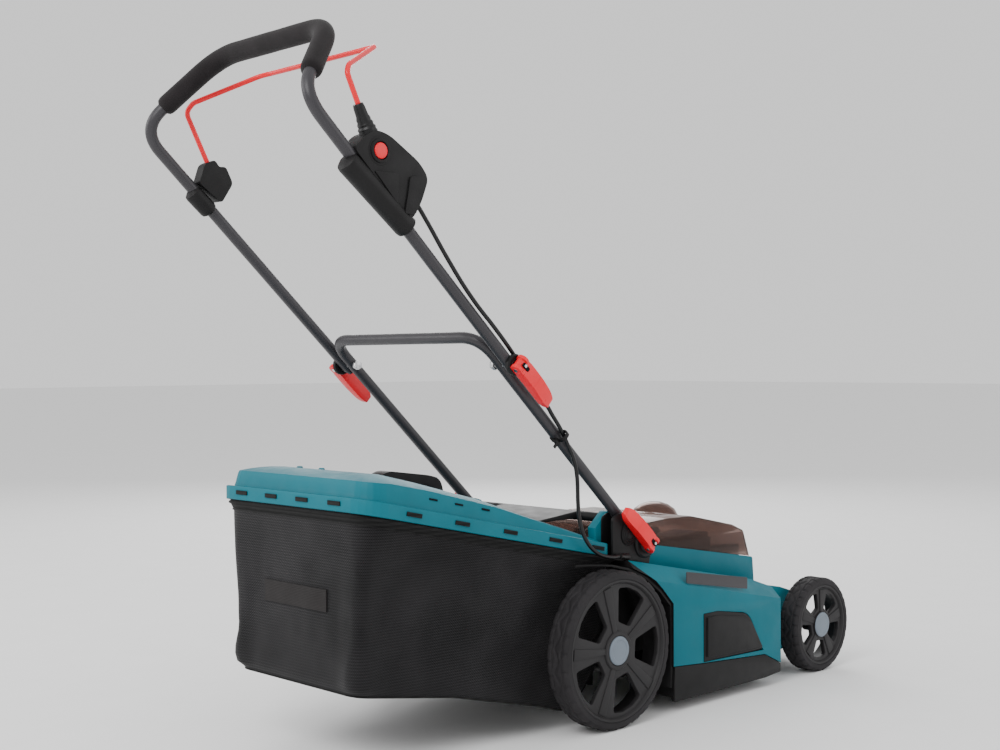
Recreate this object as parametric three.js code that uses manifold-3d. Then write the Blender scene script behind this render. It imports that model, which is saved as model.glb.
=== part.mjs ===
// Battery lawn mower with a folding handle and a grass catcher.
// Millimetres, +Z up. The mower faces -Y, +X is its own left side and the wheels stand on z = 0.
// Places are given from the ground point under the rear axle; the whole is then moved along Y so
// that the origin lies at the centre of the footprint.
import * as THREE from "three";
import { mergeVertices } from "three/addons/utils/BufferGeometryUtils.js";
import Module from "manifold-3d";

// ---- driving dimensions ----
const REAR_AXLE_Y = 47.8;
const REAR_WHEEL = { radius: 125, width: 43, y: 0, outer: 235.6 };
const FRONT_WHEEL = { radius: 87, width: 40, y: -586.6, outer: 226.4 };
const HUB_CAP_RADIUS = 23.2;
const SPOKE_COUNT = 5;
const AXLE_RADIUS = 5.5;
const REAR_CRANK = { y: -72, z: 71 };
const FRONT_CRANK = { y: -510, z: 62.8 };
const CRANK_ARM_X = 179.4;
const DECK_HALF = 228;
const NOSE_HALF = 172;
const REAR_HALF = 176;
const WALL = 3.5;
const GAP = 0.4;
const SHOULDER_SLOPE = 0.2013;
const SHOULDER_Z = 252;
const SHOULDER_Y = -91;
const BLADE = { y: -300, z: 34, radius: 178, chamber: 188 };
const ROOF_Z = 112;
const TUBE_RADIUS = 9;
const TUBE_ANGLE = THREE.MathUtils.degToRad(43.1);
const LOWER_TUBE_X = 178;
const UPPER_TUBE_X = 197.5;
const LOWER_PIVOT = { y: -114, z: 280 };
const UPPER_PIVOT = { y: 204, z: 576 };
const BAIL_PIVOT = { y: 462, z: 872 };
const BAIL_RADIUS = 3;
const CABLE_RADIUS = 3.2;
const CATCHER_SLOPE = 0.2145;
const RIM_Z = 272;
const RIM_HALF = 188;
const BAG_HALF = 170;

const wasm = await Module();
wasm.setup();

const FINISH = {
  teal: finish(0x0b7f86, 0.32, 0),
  black: finish(0x1d1d1f, 0.55, 0),
  graphite: finish(0x2b2b2e, 0.5, 0.1),
  rubber: finish(0x1a1a1a, 0.85, 0),
  foam: finish(0x141414, 0.95, 0),
  fabric: finish(0x161616, 0.95, 0),
  red: finish(0xe01b22, 0.35, 0),
  steel: finish(0x9b9da0, 0.35, 0.9),
  capGrey: finish(0x6b7a86, 0.5, 0),
  smoke: finish(0x3a2c28, 0.15, 0),
  panel: finish(0x8b93a0, 0.3, 0),
};

function finish(color, roughness, metalness) {
  return new THREE.MeshStandardMaterial({ color, roughness, metalness });
}

// ---- solids ----
const ALONG_X = new THREE.Matrix4().makeBasis(axis(0, 1, 0), axis(0, 0, 1), axis(1, 0, 0));
const ALONG_Y = new THREE.Matrix4().makeBasis(axis(1, 0, 0), axis(0, 0, 1), axis(0, -1, 0));

function axis(x, y, z) {
  return new THREE.Vector3(x, y, z);
}

function solid(geometry) {
  const bare = geometry.index ? geometry.toNonIndexed() : geometry.clone();
  bare.deleteAttribute("normal");
  bare.deleteAttribute("uv");
  const merged = mergeVertices(bare, 1e-3);
  return new wasm.Manifold(
    new wasm.Mesh({
      numProp: 3,
      vertProperties: merged.attributes.position.array,
      triVerts: new Uint32Array(merged.index.array),
    }),
  );
}

function geometryOf(body) {
  const mesh = body.getMesh();
  const geometry = new THREE.BufferGeometry();
  geometry.setAttribute("position", new THREE.BufferAttribute(mesh.vertProperties, 3));
  geometry.setIndex(new THREE.BufferAttribute(mesh.triVerts, 1));
  const flat = geometry.toNonIndexed();
  flat.computeVertexNormals();
  return flat;
}

function join(...bodies) {
  return bodies.reduce((whole, body) => whole.add(body));
}

// An outline of [u, v] corners; a third number rounds that corner with an arc of that radius.
function outline(corners) {
  const shape = new THREE.Shape();
  const count = corners.length;
  corners.forEach(([u, v, radius = 0], i) => {
    const corner = new THREE.Vector2(u, v);
    if (!radius) {
      if (i) shape.lineTo(u, v);
      else shape.moveTo(u, v);
      return;
    }
    const before = new THREE.Vector2(...corners[(i + count - 1) % count]);
    const after = new THREE.Vector2(...corners[(i + 1) % count]);
    const start = corner.clone().add(before.sub(corner).setLength(radius));
    const end = corner.clone().add(after.sub(corner).setLength(radius));
    if (i) shape.lineTo(start.x, start.y);
    else shape.moveTo(start.x, start.y);
    shape.quadraticCurveTo(u, v, end.x, end.y);
  });
  return shape;
}

function extruded(corners, depth, curveSegments = 5) {
  const shape = Array.isArray(corners) ? outline(corners) : corners;
  return new THREE.ExtrudeGeometry(shape, { depth, bevelEnabled: false, curveSegments });
}

// Slabs whose outline lies across X, Y or Z.
function slabX(corners, x0, x1, curveSegments) {
  const geometry = extruded(corners, x1 - x0, curveSegments).applyMatrix4(ALONG_X);
  return solid(geometry.translate(x0, 0, 0));
}

function slabY(corners, y0, y1, curveSegments) {
  const geometry = extruded(corners, y1 - y0, curveSegments).applyMatrix4(ALONG_Y);
  return solid(geometry.translate(0, y1, 0));
}

function slabZ(corners, z0, z1, curveSegments) {
  return solid(extruded(corners, z1 - z0, curveSegments).translate(0, 0, z0));
}

function box(x0, x1, y0, y1, z0, z1) {
  const geometry = new THREE.BoxGeometry(x1 - x0, y1 - y0, z1 - z0);
  return solid(geometry.translate((x0 + x1) / 2, (y0 + y1) / 2, (z0 + z1) / 2));
}

function rod(from, to, radius, sides = 16) {
  const span = to.clone().sub(from);
  const geometry = new THREE.CylinderGeometry(radius, radius, span.length(), sides);
  geometry.applyQuaternion(new THREE.Quaternion().setFromUnitVectors(axis(0, 1, 0), span.normalize()));
  const middle = from.clone().add(to).multiplyScalar(0.5);
  return solid(geometry.translate(middle.x, middle.y, middle.z));
}

function rodX(y, z, x0, x1, radius, sides = 16) {
  return rod(axis(x0, y, z), axis(x1, y, z), radius, sides);
}

// A turned solid about the Z axis from [radius, z] corners that start and end on the axis or close.
function turned(profile, sides = 32) {
  const points = profile.map(([r, z]) => new THREE.Vector2(r, z));
  return solid(new THREE.LatheGeometry(points, sides).rotateX(Math.PI / 2));
}

function turnedRing(inner, outer, z0, z1, sides) {
  return turned([[inner, z0], [outer, z0], [outer, z1], [inner, z1], [inner, z0]], sides);
}

// A path of straight runs with rounded corners.
function bentPath(points, radius) {
  const path = new THREE.CurvePath();
  let last = points[0];
  points.slice(1, -1).forEach((corner, i) => {
    const reach = Math.min(
      radius,
      corner.distanceTo(last) / 2.01,
      corner.distanceTo(points[i + 2]) / 2.01,
    );
    const start = corner.clone().add(last.clone().sub(corner).setLength(reach));
    const end = corner.clone().add(points[i + 2].clone().sub(corner).setLength(reach));
    path.add(new THREE.LineCurve3(last, start));
    path.add(new THREE.QuadraticBezierCurve3(start, corner, end));
    last = end;
  });
  path.add(new THREE.LineCurve3(last, points[points.length - 1]));
  return path;
}

function tube(path, radius, steps, sides = 12) {
  const ring = Array.from({ length: sides }, (_, i) => {
    const turn = (i / sides) * 2 * Math.PI;
    return [radius * Math.cos(turn), radius * Math.sin(turn)];
  });
  return solid(
    new THREE.ExtrudeGeometry(outline(ring), { steps, extrudePath: path, bevelEnabled: false }),
  );
}

// Shears a solid so that its height follows the slope along Y from a given station.
function sloped(body, slope, yStation) {
  const shear = new THREE.Matrix4().set(
    1, 0, 0, 0, 0, 1, 0, 0, 0, slope, 1, -slope * yStation, 0, 0, 0, 1,
  );
  return solid(geometryOf(body).applyMatrix4(shear));
}

function mirrored(body) {
  return body.mirror([1, 0, 0]);
}

const mower = new THREE.Group();
const frameGroup = new THREE.Group();
frameGroup.position.y = REAR_AXLE_Y;
mower.add(frameGroup);

function place(name, body, material) {
  const mesh = new THREE.Mesh(geometryOf(body), material);
  mesh.name = name;
  frameGroup.add(mesh);
}

// Places a right-hand solid (at -X) and its mirror image on the left.
function placePair(name, rightBody, material) {
  place(name + "_right", rightBody, material);
  place(name + "_left", mirrored(rightBody), material);
}

// ---- wheels ----
function wheelRim(radius, width) {
  const rimRadius = radius - 13.4;
  const innerEdge = 0.36 * radius;
  const outerEdge = radius - 27;
  const at = (reach, turn) => [reach * Math.cos(turn), reach * Math.sin(turn)];
  let web = turnedRing(0, rimRadius - 3, width - 18, width - 4, 24);
  for (let i = 0; i < SPOKE_COUNT; i++) {
    const middle = ((i + 0.5) / SPOKE_COUNT) * 2 * Math.PI;
    const window = [
      at(innerEdge, middle - 0.3), at(outerEdge, middle - 0.34), at(outerEdge + 3, middle),
      at(outerEdge, middle + 0.34), at(innerEdge, middle + 0.3),
    ];
    web = web.subtract(slabZ(window, -5, width + 5));
  }
  const ring = turnedRing(rimRadius - 6, rimRadius, 1, width - 1, 24);
  const hub = turnedRing(0, 19, 2, width - 3.5, 12);
  return join(web, ring, hub).subtract(turnedRing(0, 6.4, -5, width + 5, 10));
}

function wheelTyre(radius, width) {
  const inner = radius - 12.8;
  const shoulder = 4;
  return turned(
    [
      [inner, 0],
      [radius - shoulder, 0],
      [radius, shoulder],
      [radius, width - shoulder],
      [radius - shoulder, width],
      [inner, width],
      [inner, 0],
    ],
    32,
  );
}

function hubCap(width) {
  const rim = HUB_CAP_RADIUS;
  const profile = [
    [0, -3], [rim - 4, -3], [rim, -2], [rim, -0.4], [rim - 4, 0.4], [0, 0.4], [0, -3],
  ];
  return turned(profile, 20).translate(0, 0, width);
}

function addWheel(name, wheel, side) {
  const group = new THREE.Group();
  group.position.set(side * (wheel.outer - wheel.width), wheel.y, wheel.radius);
  group.rotation.y = (side * Math.PI) / 2;
  const parts = [
    ["tyre", wheelTyre(wheel.radius, wheel.width), FINISH.rubber],
    ["rim", wheelRim(wheel.radius, wheel.width), FINISH.graphite],
    ["hub_cap", hubCap(wheel.width), FINISH.capGrey],
  ];
  for (const [part, body, material] of parts) {
    const mesh = new THREE.Mesh(geometryOf(body), material);
    mesh.name = name + "_" + part;
    group.add(mesh);
  }
  frameGroup.add(group);
}

// Each axle is one steel rod bent into a crank: wheel stubs, arms and a pivot run across the deck.
function crankAxle(wheel, crank) {
  const stub = wheel.outer - 6;
  const half = [
    axis(stub, wheel.y, wheel.radius),
    axis(CRANK_ARM_X + 1.5, wheel.y, wheel.radius),
    axis(CRANK_ARM_X, crank.y, crank.z),
  ];
  const points = [...half, ...half.reverse().map((p) => axis(-p.x, p.y, p.z))];
  return tube(bentPath(points, 9), AXLE_RADIUS, 36, 8);
}

// ---- deck ----
const topLine = (y, drop = 0) => SHOULDER_Z + SHOULDER_SLOPE * (y - SHOULDER_Y) - drop;

function deckOuter() {
  const side = [
    [-60, 100],
    [-60, 258],
    [SHOULDER_Y, SHOULDER_Z],
    [-394, 191],
    [-448, 172],
    [-448, 38],
    [-400, 60],
    [-223, 71],
    [-143, 77],
    [-143, 100],
  ];
  const front = [
    [-DECK_HALF, -300], [-DECK_HALF, -27], [-200, 0], [-100, 6], [100, 6], [200, 0],
    [DECK_HALF, -27], [DECK_HALF, -300],
  ];
  const lifted = front.map(([x, z]) => [x, z + SHOULDER_Z]);
  const shoulders = sloped(slabY(lifted, -460, -40), SHOULDER_SLOPE, SHOULDER_Y);
  const nose = slabX(
    [[-440, 42], [-440, 174], [-498, 164], [-526, 159], [-592, 139], [-640, 112, 14], [-652, 42]],
    -NOSE_HALF,
    NOSE_HALF,
  );
  const plan = slabZ(
    [
      [-NOSE_HALF, -430], [-NOSE_HALF, -600, 30], [-130, -652, 30], [130, -652, 30],
      [NOSE_HALF, -600, 30], [NOSE_HALF, -430],
    ],
    0,
    300,
  );
  return join(slabX(side, -DECK_HALF, DECK_HALF).intersect(shoulders), nose.intersect(plan));
}

function deckInner() {
  const side = [
    [-50, 60],
    [-50, 254],
    [SHOULDER_Y, SHOULDER_Z - WALL],
    [-394, 191 - WALL],
    [-444.5, 172 - WALL],
    [-444.5, 0],
    [-139.5, 0],
    [-139.5, 60],
  ];
  const plan = slabZ(
    [
      [-172.5, 0], [-172.5, -147], [-224.3, -147], [-224.3, -500], [224.3, -500], [224.3, -147],
      [172.5, -147], [172.5, 0],
    ],
    -10,
    300,
  );
  const front = [
    [-224.3, -300], [-224.3, -30], [-198, -4], [-100, 2], [100, 2], [198, -4], [224.3, -30],
    [224.3, -300],
  ];
  const lifted = front.map(([x, z]) => [x, z + SHOULDER_Z]);
  const shoulders = sloped(slabY(lifted, -470, -40), SHOULDER_SLOPE, SHOULDER_Y);
  const nose = slabX(
    [[-430, 20], [-430, 170], [-498, 160], [-526, 155], [-592, 135], [-634, 110, 12], [-646, 20]],
    -NOSE_HALF + WALL,
    NOSE_HALF - WALL,
  );
  const nosePlan = slabZ(
    [
      [-168.5, -400], [-168.5, -598, 28], [-128, -648, 28], [128, -648, 28], [168.5, -598, 28],
      [168.5, -400],
    ],
    0,
    300,
  );
  return join(
    slabX(side, -230, 230).intersect(plan).intersect(shoulders),
    nose.intersect(nosePlan),
  );
}

const ARCH = [[-143, 181], [-116, 208], [SHOULDER_Y, 230], [-60, 246], [-20, 256], [20, 260]];

// The space that the wheel arch leaves open behind its front edge, as far back as a station.
function wellRegion(rear) {
  return slabX([[rear, -50], [-143, -50], ...ARCH, [rear, 263]], -270, -REAR_HALF);
}

const HATCH = [[-223, 72], [-223, 154], [-262, 154], [-351, 140, 18], [-395, 68]];

function deckCover() {
  const well = wellRegion(40);
  const ear = slabX(
    [[-84, 250], [-67, 332, 4], [-50, 337, 4], [-20, 311], [-24, 270], [-57, 263], [-62, 250]],
    -166,
    -150,
  );
  const hatchHole = slabX(HATCH, -240, -215);
  const shell = join(deckOuter(), ear, mirrored(ear)).subtract(deckInner());
  const trayHole = box(-124, 124, -474, -216, 150, 300);
  const axleHole = rodX(FRONT_CRANK.y, FRONT_CRANK.z, -200, 200, 8, 16);
  return shell
    .subtract(join(well, mirrored(well)))
    .subtract(join(hatchHole, mirrored(hatchHole)))
    .subtract(trayHole)
    .subtract(axleHole);
}

function sideHatch() {
  const plate = slabX(
    [[-223.5, 73], [-223.5, 153.5], [-262, 153.5], [-349, 139, 18], [-391, 72]],
    -229,
    -224.9,
  );
  const bulge = slabX(
    [[-230, 80], [-230, 147], [-262, 147], [-348, 134, 14], [-386, 76]],
    -232.5,
    -228.5,
  );
  return join(plate, bulge);
}

// The black base moulding: cutting chamber, discharge channel, skirt and wheel-arch liners.
function deckBase() {
  const tubPlan = (half, nose, rear, front) => [
    [-half, rear], [-half, -443], [-nose, -443], [-nose, front + 40, 20], [-125, front, 20],
    [125, front, 20], [nose, front + 40, 20], [nose, -443], [half, -443], [half, rear],
  ];
  const tub = slabZ(tubPlan(223.6, 166, -147.5, -628), 24, ROOF_Z).subtract(
    slabZ(tubPlan(220.4, 162.8, -150.7, -624), 0, ROOF_Z - 4),
  );
  const noseCut = box(-230, 230, -700, -447, 0, 44);
  const chamberWall = turnedRing(
    BLADE.chamber, BLADE.chamber + 3, 24, ROOF_Z - 1, 40,
  ).translate(0, BLADE.y, 0);
  const channel = slabX(
    [
      [-232, 60], [-232, 128], [-150, 200], [-92, 226], [-60, 240], [-60, 84], [-125, 48],
      [-165, 60],
    ],
    -133,
    133,
  );
  const bulkhead = box(-171, 171, -64, -60.4, 92, 250);
  const passage = slabX(
    [
      [-300, 10], [-300, 105], [-220, 105], [-220, 123], [-148, 194], [-90, 220], [-50, 236],
      [-50, 92], [-122, 55], [-122, 10],
    ],
    -130,
    130,
  );
  const band = slabX(
    [[-146, 18], [-146, 75.6], [-223, 69.6], [-400, 58.6], [-447, 36.6], [-447, 22], [-400, 18]],
    -DECK_HALF,
    -220.4,
  );
  const liner = wellRegion(58).translate(0, 0.5, -0.7).subtract(wellRegion(70).translate(0, 3.7, -3.9));
  const archPlan = slabZ(
    [
      [-225, -150], [-224, -115], [-208, -60], [-201, 0], [-195, 60], [-187, 60], [-187, -59],
      [-176.5, -59], [-176.5, -150],
    ],
    42,
    300,
  );
  const archFoot = box(-224, -177, -149, -139.4, 42, 75);
  const arch = join(liner.intersect(archPlan), archFoot);
  const motorHole = turnedRing(0, 13, 90, 130, 16).translate(0, BLADE.y, 0);
  const axleHole = rodX(FRONT_CRANK.y, FRONT_CRANK.z, -200, 200, 7.5, 16);
  const hangers = [-150, 150].map((x) => box(x - 10, x + 10, -522, -498, 50, ROOF_Z - 2));
  const saddles = [-150, 150].map((x) => box(x - 18, x + 10, -84, -60.4, 60, 100));
  const saddleHole = rodX(REAR_CRANK.y, REAR_CRANK.z, -200, 200, 7.2, 16);
  return join(
    tub.subtract(noseCut), chamberWall, channel, bulkhead, band, mirrored(band), arch,
    mirrored(arch), ...hangers, ...saddles,
  )
    .subtract(passage)
    .subtract(motorHole)
    .subtract(axleHole)
    .subtract(saddleHole);
}

const HOUSING_TOP = (y) => 262 + ((y + 215) * 47) / 277;

function batteryHousing() {
  const outer = slabX(
    [[-150, 225], [-150, HOUSING_TOP(-150), 6], [-492, 215, 5], [-498, 150], [-440, 150]],
    -135,
    135,
  );
  const inner = slabX([[-154, 100], [-154, 400], [-488, 400], [-493.5, 100]], -130.5, 130.5);
  return outer.subtract(inner).subtract(deckOuter().translate(0, 0, GAP));
}

function batteryTray() {
  const shell = box(-121, 121, -470, -220, 188, 240).subtract(box(-117, 117, -466, -224, 192, 260));
  const divider = box(-2, 2, -467, -223, 190, 236);
  const keySocket = box(-18, 18, -464, -424, 190, 237.6);
  return join(shell, divider, keySocket);
}

function batteryLid() {
  const arch = (lift, front, rear) => [
    [rear, HOUSING_TOP(-152) + 0.6],
    [rear - 4, 294 - lift],
    [-184, 299 - lift],
    [-262, 303 - lift],
    [-331, 302 - lift],
    [-360, 296 - lift],
    [-444, 278 - lift],
    [-471, 266 - lift],
    [front, 216],
  ];
  const across = (half, top) => [
    [-half, 150], [-half, 262], [-half + 9, 290], [-half + 22, top], [half - 22, top],
    [half - 9, 290], [half, 262], [half, 150],
  ];
  const outer = slabX(arch(0, -490, -152), -130, 130).intersect(slabY(across(129, 340), -500, -140));
  const inner = slabX(
    [[-155, 200], ...arch(3, -486.5, -155.2).slice(1, -1), [-487, 214], [-487, 200]],
    -126,
    126,
  ).intersect(slabY(across(126, 337), -500, -140));
  const hump = turned(
    [[0, 285], [45, 285], [44, 293], [38, 304], [26, 312.5], [12, 317], [0, 318], [0, 285]],
    24,
  ).translate(0, -370, 0);
  const humpInside = turned(
    [[0, 270], [41, 270], [41, 291], [35.5, 301.5], [24.5, 309.5], [11.5, 314], [0, 315], [0, 270]],
    24,
  ).translate(0, -370, 0);
  return join(outer, hump).subtract(join(inner, humpInside));
}

function motorCan() {
  return turned(
    [[30, 0], [56, 0], [56, 4], [50, 4], [50, 66], [42, 72], [10, 72], [10, 68], [30, 68], [30, 0]],
    24,
  ).translate(0, BLADE.y, ROOF_Z + GAP);
}

function motorRotor() {
  const shaft = turned(
    [
      [0, 38.4], [34, 38.4], [34, 43], [16, 46], [16, 60], [8, 60], [8, 119], [28, 119], [28, 172],
      [8, 172], [8, 186], [0, 186], [0, 38.4],
    ],
    20,
  );
  return shaft.translate(0, BLADE.y, 0);
}

function cuttingBlade() {
  const half = [[0, -24], [150, -24], [BLADE.radius, -12], [BLADE.radius, 24], [0, 24]];
  const bar = slabZ(half, 0, 3.6);
  const wing = slabY([[118, 3], [BLADE.radius, 18], [BLADE.radius, 21.6], [118, 3.6]], 14, 24);
  const side = join(bar, wing);
  return join(side, side.rotate([0, 0, 180])).translate(0, BLADE.y, BLADE.z);
}

function bladeBolt() {
  return join(
    turned([[0, 27], [20, 30.5], [20, 33.7], [0, 33.7], [0, 27]], 24),
    turned([[0, 23], [11, 23], [11, 29], [0, 29], [0, 23]], 6),
  ).translate(0, BLADE.y, 0);
}

function batteryPack(side) {
  const x = side * 58;
  const body = slabY(
    [[x - 44, 194, 4], [x - 44, 268, 10], [x + 44, 268, 10], [x + 44, 194, 4]],
    -408,
    -262,
  );
  const grip = slabX([[-262.5, 215], [-262.5, 262], [-246, 262, 6], [-240, 215]], x - 24, x + 24);
  return join(body, grip);
}

function safetyKey() {
  return join(
    box(-6, 6, -448, -436, 238, 262),
    turned([[0, 240.5], [15, 240.5], [15, 247], [0, 247], [0, 240.5]], 20).translate(0, -442, 4),
  );
}

function heightLever() {
  const blade = slabX([[-192, 108, 8], [-168, 108, 8], [-160, 236], [-178, 240]], 229, 233);
  const knob = rod(axis(231, -172, 236), axis(231, -168, 268), 7.5, 14);
  const boss = rodX(-180, 122, 228.6, 235.4, 13, 20);
  return join(blade, knob.intersect(box(228.6, 235.6, -300, 0, 0, 400)), boss);
}

// ---- handle hardware ----
function handleBracket() {
  const cheek = [[-33, 262], [-33, 328, 6], [-52, 336, 8], [-131, 280, 12], [-122, 240]];
  const slot = [[-200, 263], [0, 263], [0, 420], [-200, 420]];
  return slabX(cheek, -192.4, -163.6)
    .subtract(slabX(slot, -188, -168))
    .subtract(rodX(LOWER_PIVOT.y, LOWER_PIVOT.z, -200, -150, 4.6, 14))
    .subtract(deckOuter().translate(0, 0, GAP))
    .subtract(box(-166.5, -149, -86, 0, 200, 345));
}

function clampBolt(pivot, inner, outer) {
  const shank = rodX(pivot.y, pivot.z, -outer, -inner + 3, 4, 12);
  const nut = rodX(pivot.y, pivot.z, -inner, -inner + 7, 8, 6);
  const cup = rodX(pivot.y, pivot.z, -outer, -outer + 3.1, 10, 16);
  return join(shank, nut, cup);
}

// A cam lever lies flat against its tube; local u runs to the tip, w points away from the tube.
function camLever(pivot, innerX, direction) {
  const head = 8;
  const shape = new THREE.Shape();
  shape.absarc(0, 0, head, Math.PI / 2, (3 * Math.PI) / 2, false);
  shape.lineTo(30, -head + 1.5);
  shape.lineTo(78, -head + 1);
  shape.quadraticCurveTo(90, -head + 2, 88, 0);
  shape.quadraticCurveTo(84, 5, 60, 7.5);
  shape.quadraticCurveTo(30, 10, 0, head);
  const geometry = extruded(shape, 23, 6).translate(0, 0, -11.5);
  const u = axis(0, direction * Math.cos(TUBE_ANGLE), direction * Math.sin(TUBE_ANGLE));
  const w = axis(-1, 0, 0);
  const v = u.clone().cross(w);
  geometry.applyMatrix4(new THREE.Matrix4().makeBasis(u, w, v));
  return solid(geometry.translate(-innerX - head, pivot.y, pivot.z));
}

function lowerHandleTube() {
  const end = axis(LOWER_TUBE_X, LOWER_PIVOT.y - 9, LOWER_PIVOT.z - 8.4);
  const knee = axis(LOWER_TUBE_X, 246, 617);
  const body = tube(bentPath(acrossAndBack([end, knee]), 42), TUBE_RADIUS, 44, 10);
  const pivotHole = rodX(LOWER_PIVOT.y, LOWER_PIVOT.z, -200, 200, 4.6, 14);
  const jointHole = rodX(UPPER_PIVOT.y, UPPER_PIVOT.z, -200, 200, 4.4, 14);
  return body.subtract(pivotHole).subtract(jointHole);
}

const HANDLE_FOOT = axis(UPPER_TUBE_X, UPPER_PIVOT.y - 13, UPPER_PIVOT.z - 12.2);
const HANDLE_CORNERS = [axis(203, 584.4, 932), axis(135, 488, 1044)];
const GRIP_END = axis(184.5, 558.3, 962.5);

function acrossAndBack(half) {
  return [...half, ...half.map((p) => axis(-p.x, p.y, p.z)).reverse()];
}

function upperHandleTube() {
  const points = acrossAndBack([HANDLE_FOOT, ...HANDLE_CORNERS]);
  const body = tube(bentPath(points, 45), TUBE_RADIUS, 54, 10);
  return body.subtract(rodX(UPPER_PIVOT.y, UPPER_PIVOT.z, -230, 230, 4.4, 12));
}

function foamGrip() {
  const beyond = GRIP_END.clone().lerp(HANDLE_CORNERS[1], -0.06);
  const outer = tube(bentPath(acrossAndBack([GRIP_END, HANDLE_CORNERS[1]]), 45), 15, 18, 12);
  const bore = tube(
    bentPath(acrossAndBack([beyond, HANDLE_CORNERS[1]]), 45),
    TUBE_RADIUS + 2,
    20,
    10,
  );
  return outer.subtract(bore);
}

// The straight run of the upper tube on the left side, as a cutter.
function upperTubeWay() {
  return rod(HANDLE_FOOT, HANDLE_CORNERS[0].clone().lerp(HANDLE_FOOT, 0.12), TUBE_RADIUS + 0.4, 16);
}

const BUTTON = { y: 464, z: 866, radius: 11.5 };

// Room for the end of the bail wire and for its swing.
function bailSlot(x0, x1) {
  const swing = slabX(
    [
      [BAIL_PIVOT.y, BAIL_PIVOT.z],
      [BAIL_PIVOT.y + 60, BAIL_PIVOT.z + 40],
      [BAIL_PIVOT.y + 14, BAIL_PIVOT.z + 70],
    ],
    x0,
    x1,
  );
  return join(rodX(BAIL_PIVOT.y, BAIL_PIVOT.z, x0, x1, 22, 20), swing);
}

function switchBox() {
  const sleeve = slabX([[532, 840], [514, 868, 8], [404, 772, 6], [424, 746]], -212.8, -190);
  const body = slabX(
    [[520, 858], [478, 893, 8], [455, 893, 12], [377, 838, 6], [392, 798, 6], [410, 772]],
    -216,
    -181,
  );
  const button = rodX(BUTTON.y, BUTTON.z, -230, -206, BUTTON.radius + 0.5, 20);
  const cableWay = rod(axis(-203, 375, 781), axis(-203, 405, 823), CABLE_RADIUS + 0.5, 12);
  const tubeWay = mirrored(upperTubeWay());
  return join(sleeve, body)
    .subtract(bailSlot(-204.6, -186.4))
    .subtract(button)
    .subtract(cableWay)
    .subtract(tubeWay);
}

function safetyButton() {
  return join(
    rodX(BUTTON.y, BUTTON.z, -214.5, -211, BUTTON.radius, 24),
    rodX(BUTTON.y, BUTTON.z, -218.5, -214.4, BUTTON.radius - 1, 24),
  );
}

function bailClamp() {
  const sleeve = slabX([[510, 846], [494, 872, 8], [452, 832, 6], [470, 806]], 190.4, 212.8);
  const tab = slabX(
    [[494, 860], [466, 893, 8], [446, 893, 8], [428, 862, 8], [450, 828]],
    187.4,
    209.4,
  );
  return join(sleeve, tab).subtract(bailSlot(191.4, 204.6)).subtract(upperTubeWay());
}

function bailWire() {
  const half = [
    axis(198, BAIL_PIVOT.y, BAIL_PIVOT.z),
    axis(200, 508, 966),
    axis(192, 500, 980),
    axis(140, 412, 1026),
    axis(120, 405, 1028),
  ];
  return tube(bentPath(acrossAndBack(half), 12), BAIL_RADIUS, 44, 6);
}

function bailBoot() {
  const along = axis(0, 46, 94).normalize();
  const base = axis(-198.6, BAIL_PIVOT.y, BAIL_PIVOT.z);
  const profile = [
    [BAIL_RADIUS + 1, 30], [12, 30], [12, 34], [9, 36], [10.5, 40], [7.5, 44], [8.5, 50],
    [5.5, 62], [BAIL_RADIUS + 1, 62], [BAIL_RADIUS + 1, 30],
  ];
  const points = profile.map(([r, h]) => new THREE.Vector2(r, h));
  const geometry = new THREE.LatheGeometry(points, 12);
  geometry.applyQuaternion(new THREE.Quaternion().setFromUnitVectors(axis(0, 1, 0), along));
  return solid(geometry.translate(base.x, base.y, base.z));
}

// ---- cable, from the switch box to the deck ----
const CABLE_UPPER = [
  [-203, 388, 799], [-205, 367, 770], [-207, 350, 745], [-208, 332, 721], [-209, 314, 698],
  [-209, 295, 677], [-209, 275, 657], [-208, 254, 639], [-206, 233, 621], [-203, 211, 602],
  [-199, 180, 573], [-197, 152, 545],
];
const CABLE_LOWER = [
  [-196.8, 151, 544], [-195, 123, 515], [-193.5, 108, 498], [-193, 94, 482], [-193, 83, 467],
  [-193.5, 72, 448],
];
const CABLE_TAIL = [
  [-193.6, 71.5, 447], [-194, 64, 434], [-196, 59, 417], [-198, 57, 395], [-200, 58, 364],
  [-201, 57, 341], [-202, 51, 317], [-203, 40, 297], [-203, 25, 283], [-202, 6, 273],
  [-199, -22, 267], [-196, -42, 266],
];

function cable(points) {
  const path = new THREE.CatmullRomCurve3(points.map((p) => axis(...p)));
  return tube(path, CABLE_RADIUS, Math.round(path.getLength() / 17), 8);
}

function cableClip() {
  const outer = slabX(
    [[62, 440, 4], [62, 466, 4], [84, 486, 4], [100, 476, 4], [100, 458], [78, 434, 4]],
    -198.6,
    -166,
  );
  const run = axis(0, Math.cos(TUBE_ANGLE), Math.sin(TUBE_ANGLE));
  const centre = axis(-LOWER_TUBE_X, LOWER_PIVOT.y, LOWER_PIVOT.z);
  const hole = rod(
    centre.clone().addScaledVector(run, 180),
    centre.clone().addScaledVector(run, 340),
    TUBE_RADIUS + 0.4,
    20,
  );
  const cablePath = [...CABLE_LOWER, ...CABLE_TAIL.slice(1, 3)].map((p) => axis(...p));
  const groove = tube(new THREE.CatmullRomCurve3(cablePath), CABLE_RADIUS + 0.6, 30, 8);
  return outer.subtract(hole).subtract(groove);
}

function cableGland() {
  const from = axis(-196, -42.6, 266);
  const to = axis(-186, -72, 262);
  return rod(from, to, 7, 12).subtract(deckOuter().translate(0, 0, GAP)).subtract(slabX(
    [[-200, 200], [0, 200], [0, 400], [-200, 400]],
    -193,
    -150,
  ));
}

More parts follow.
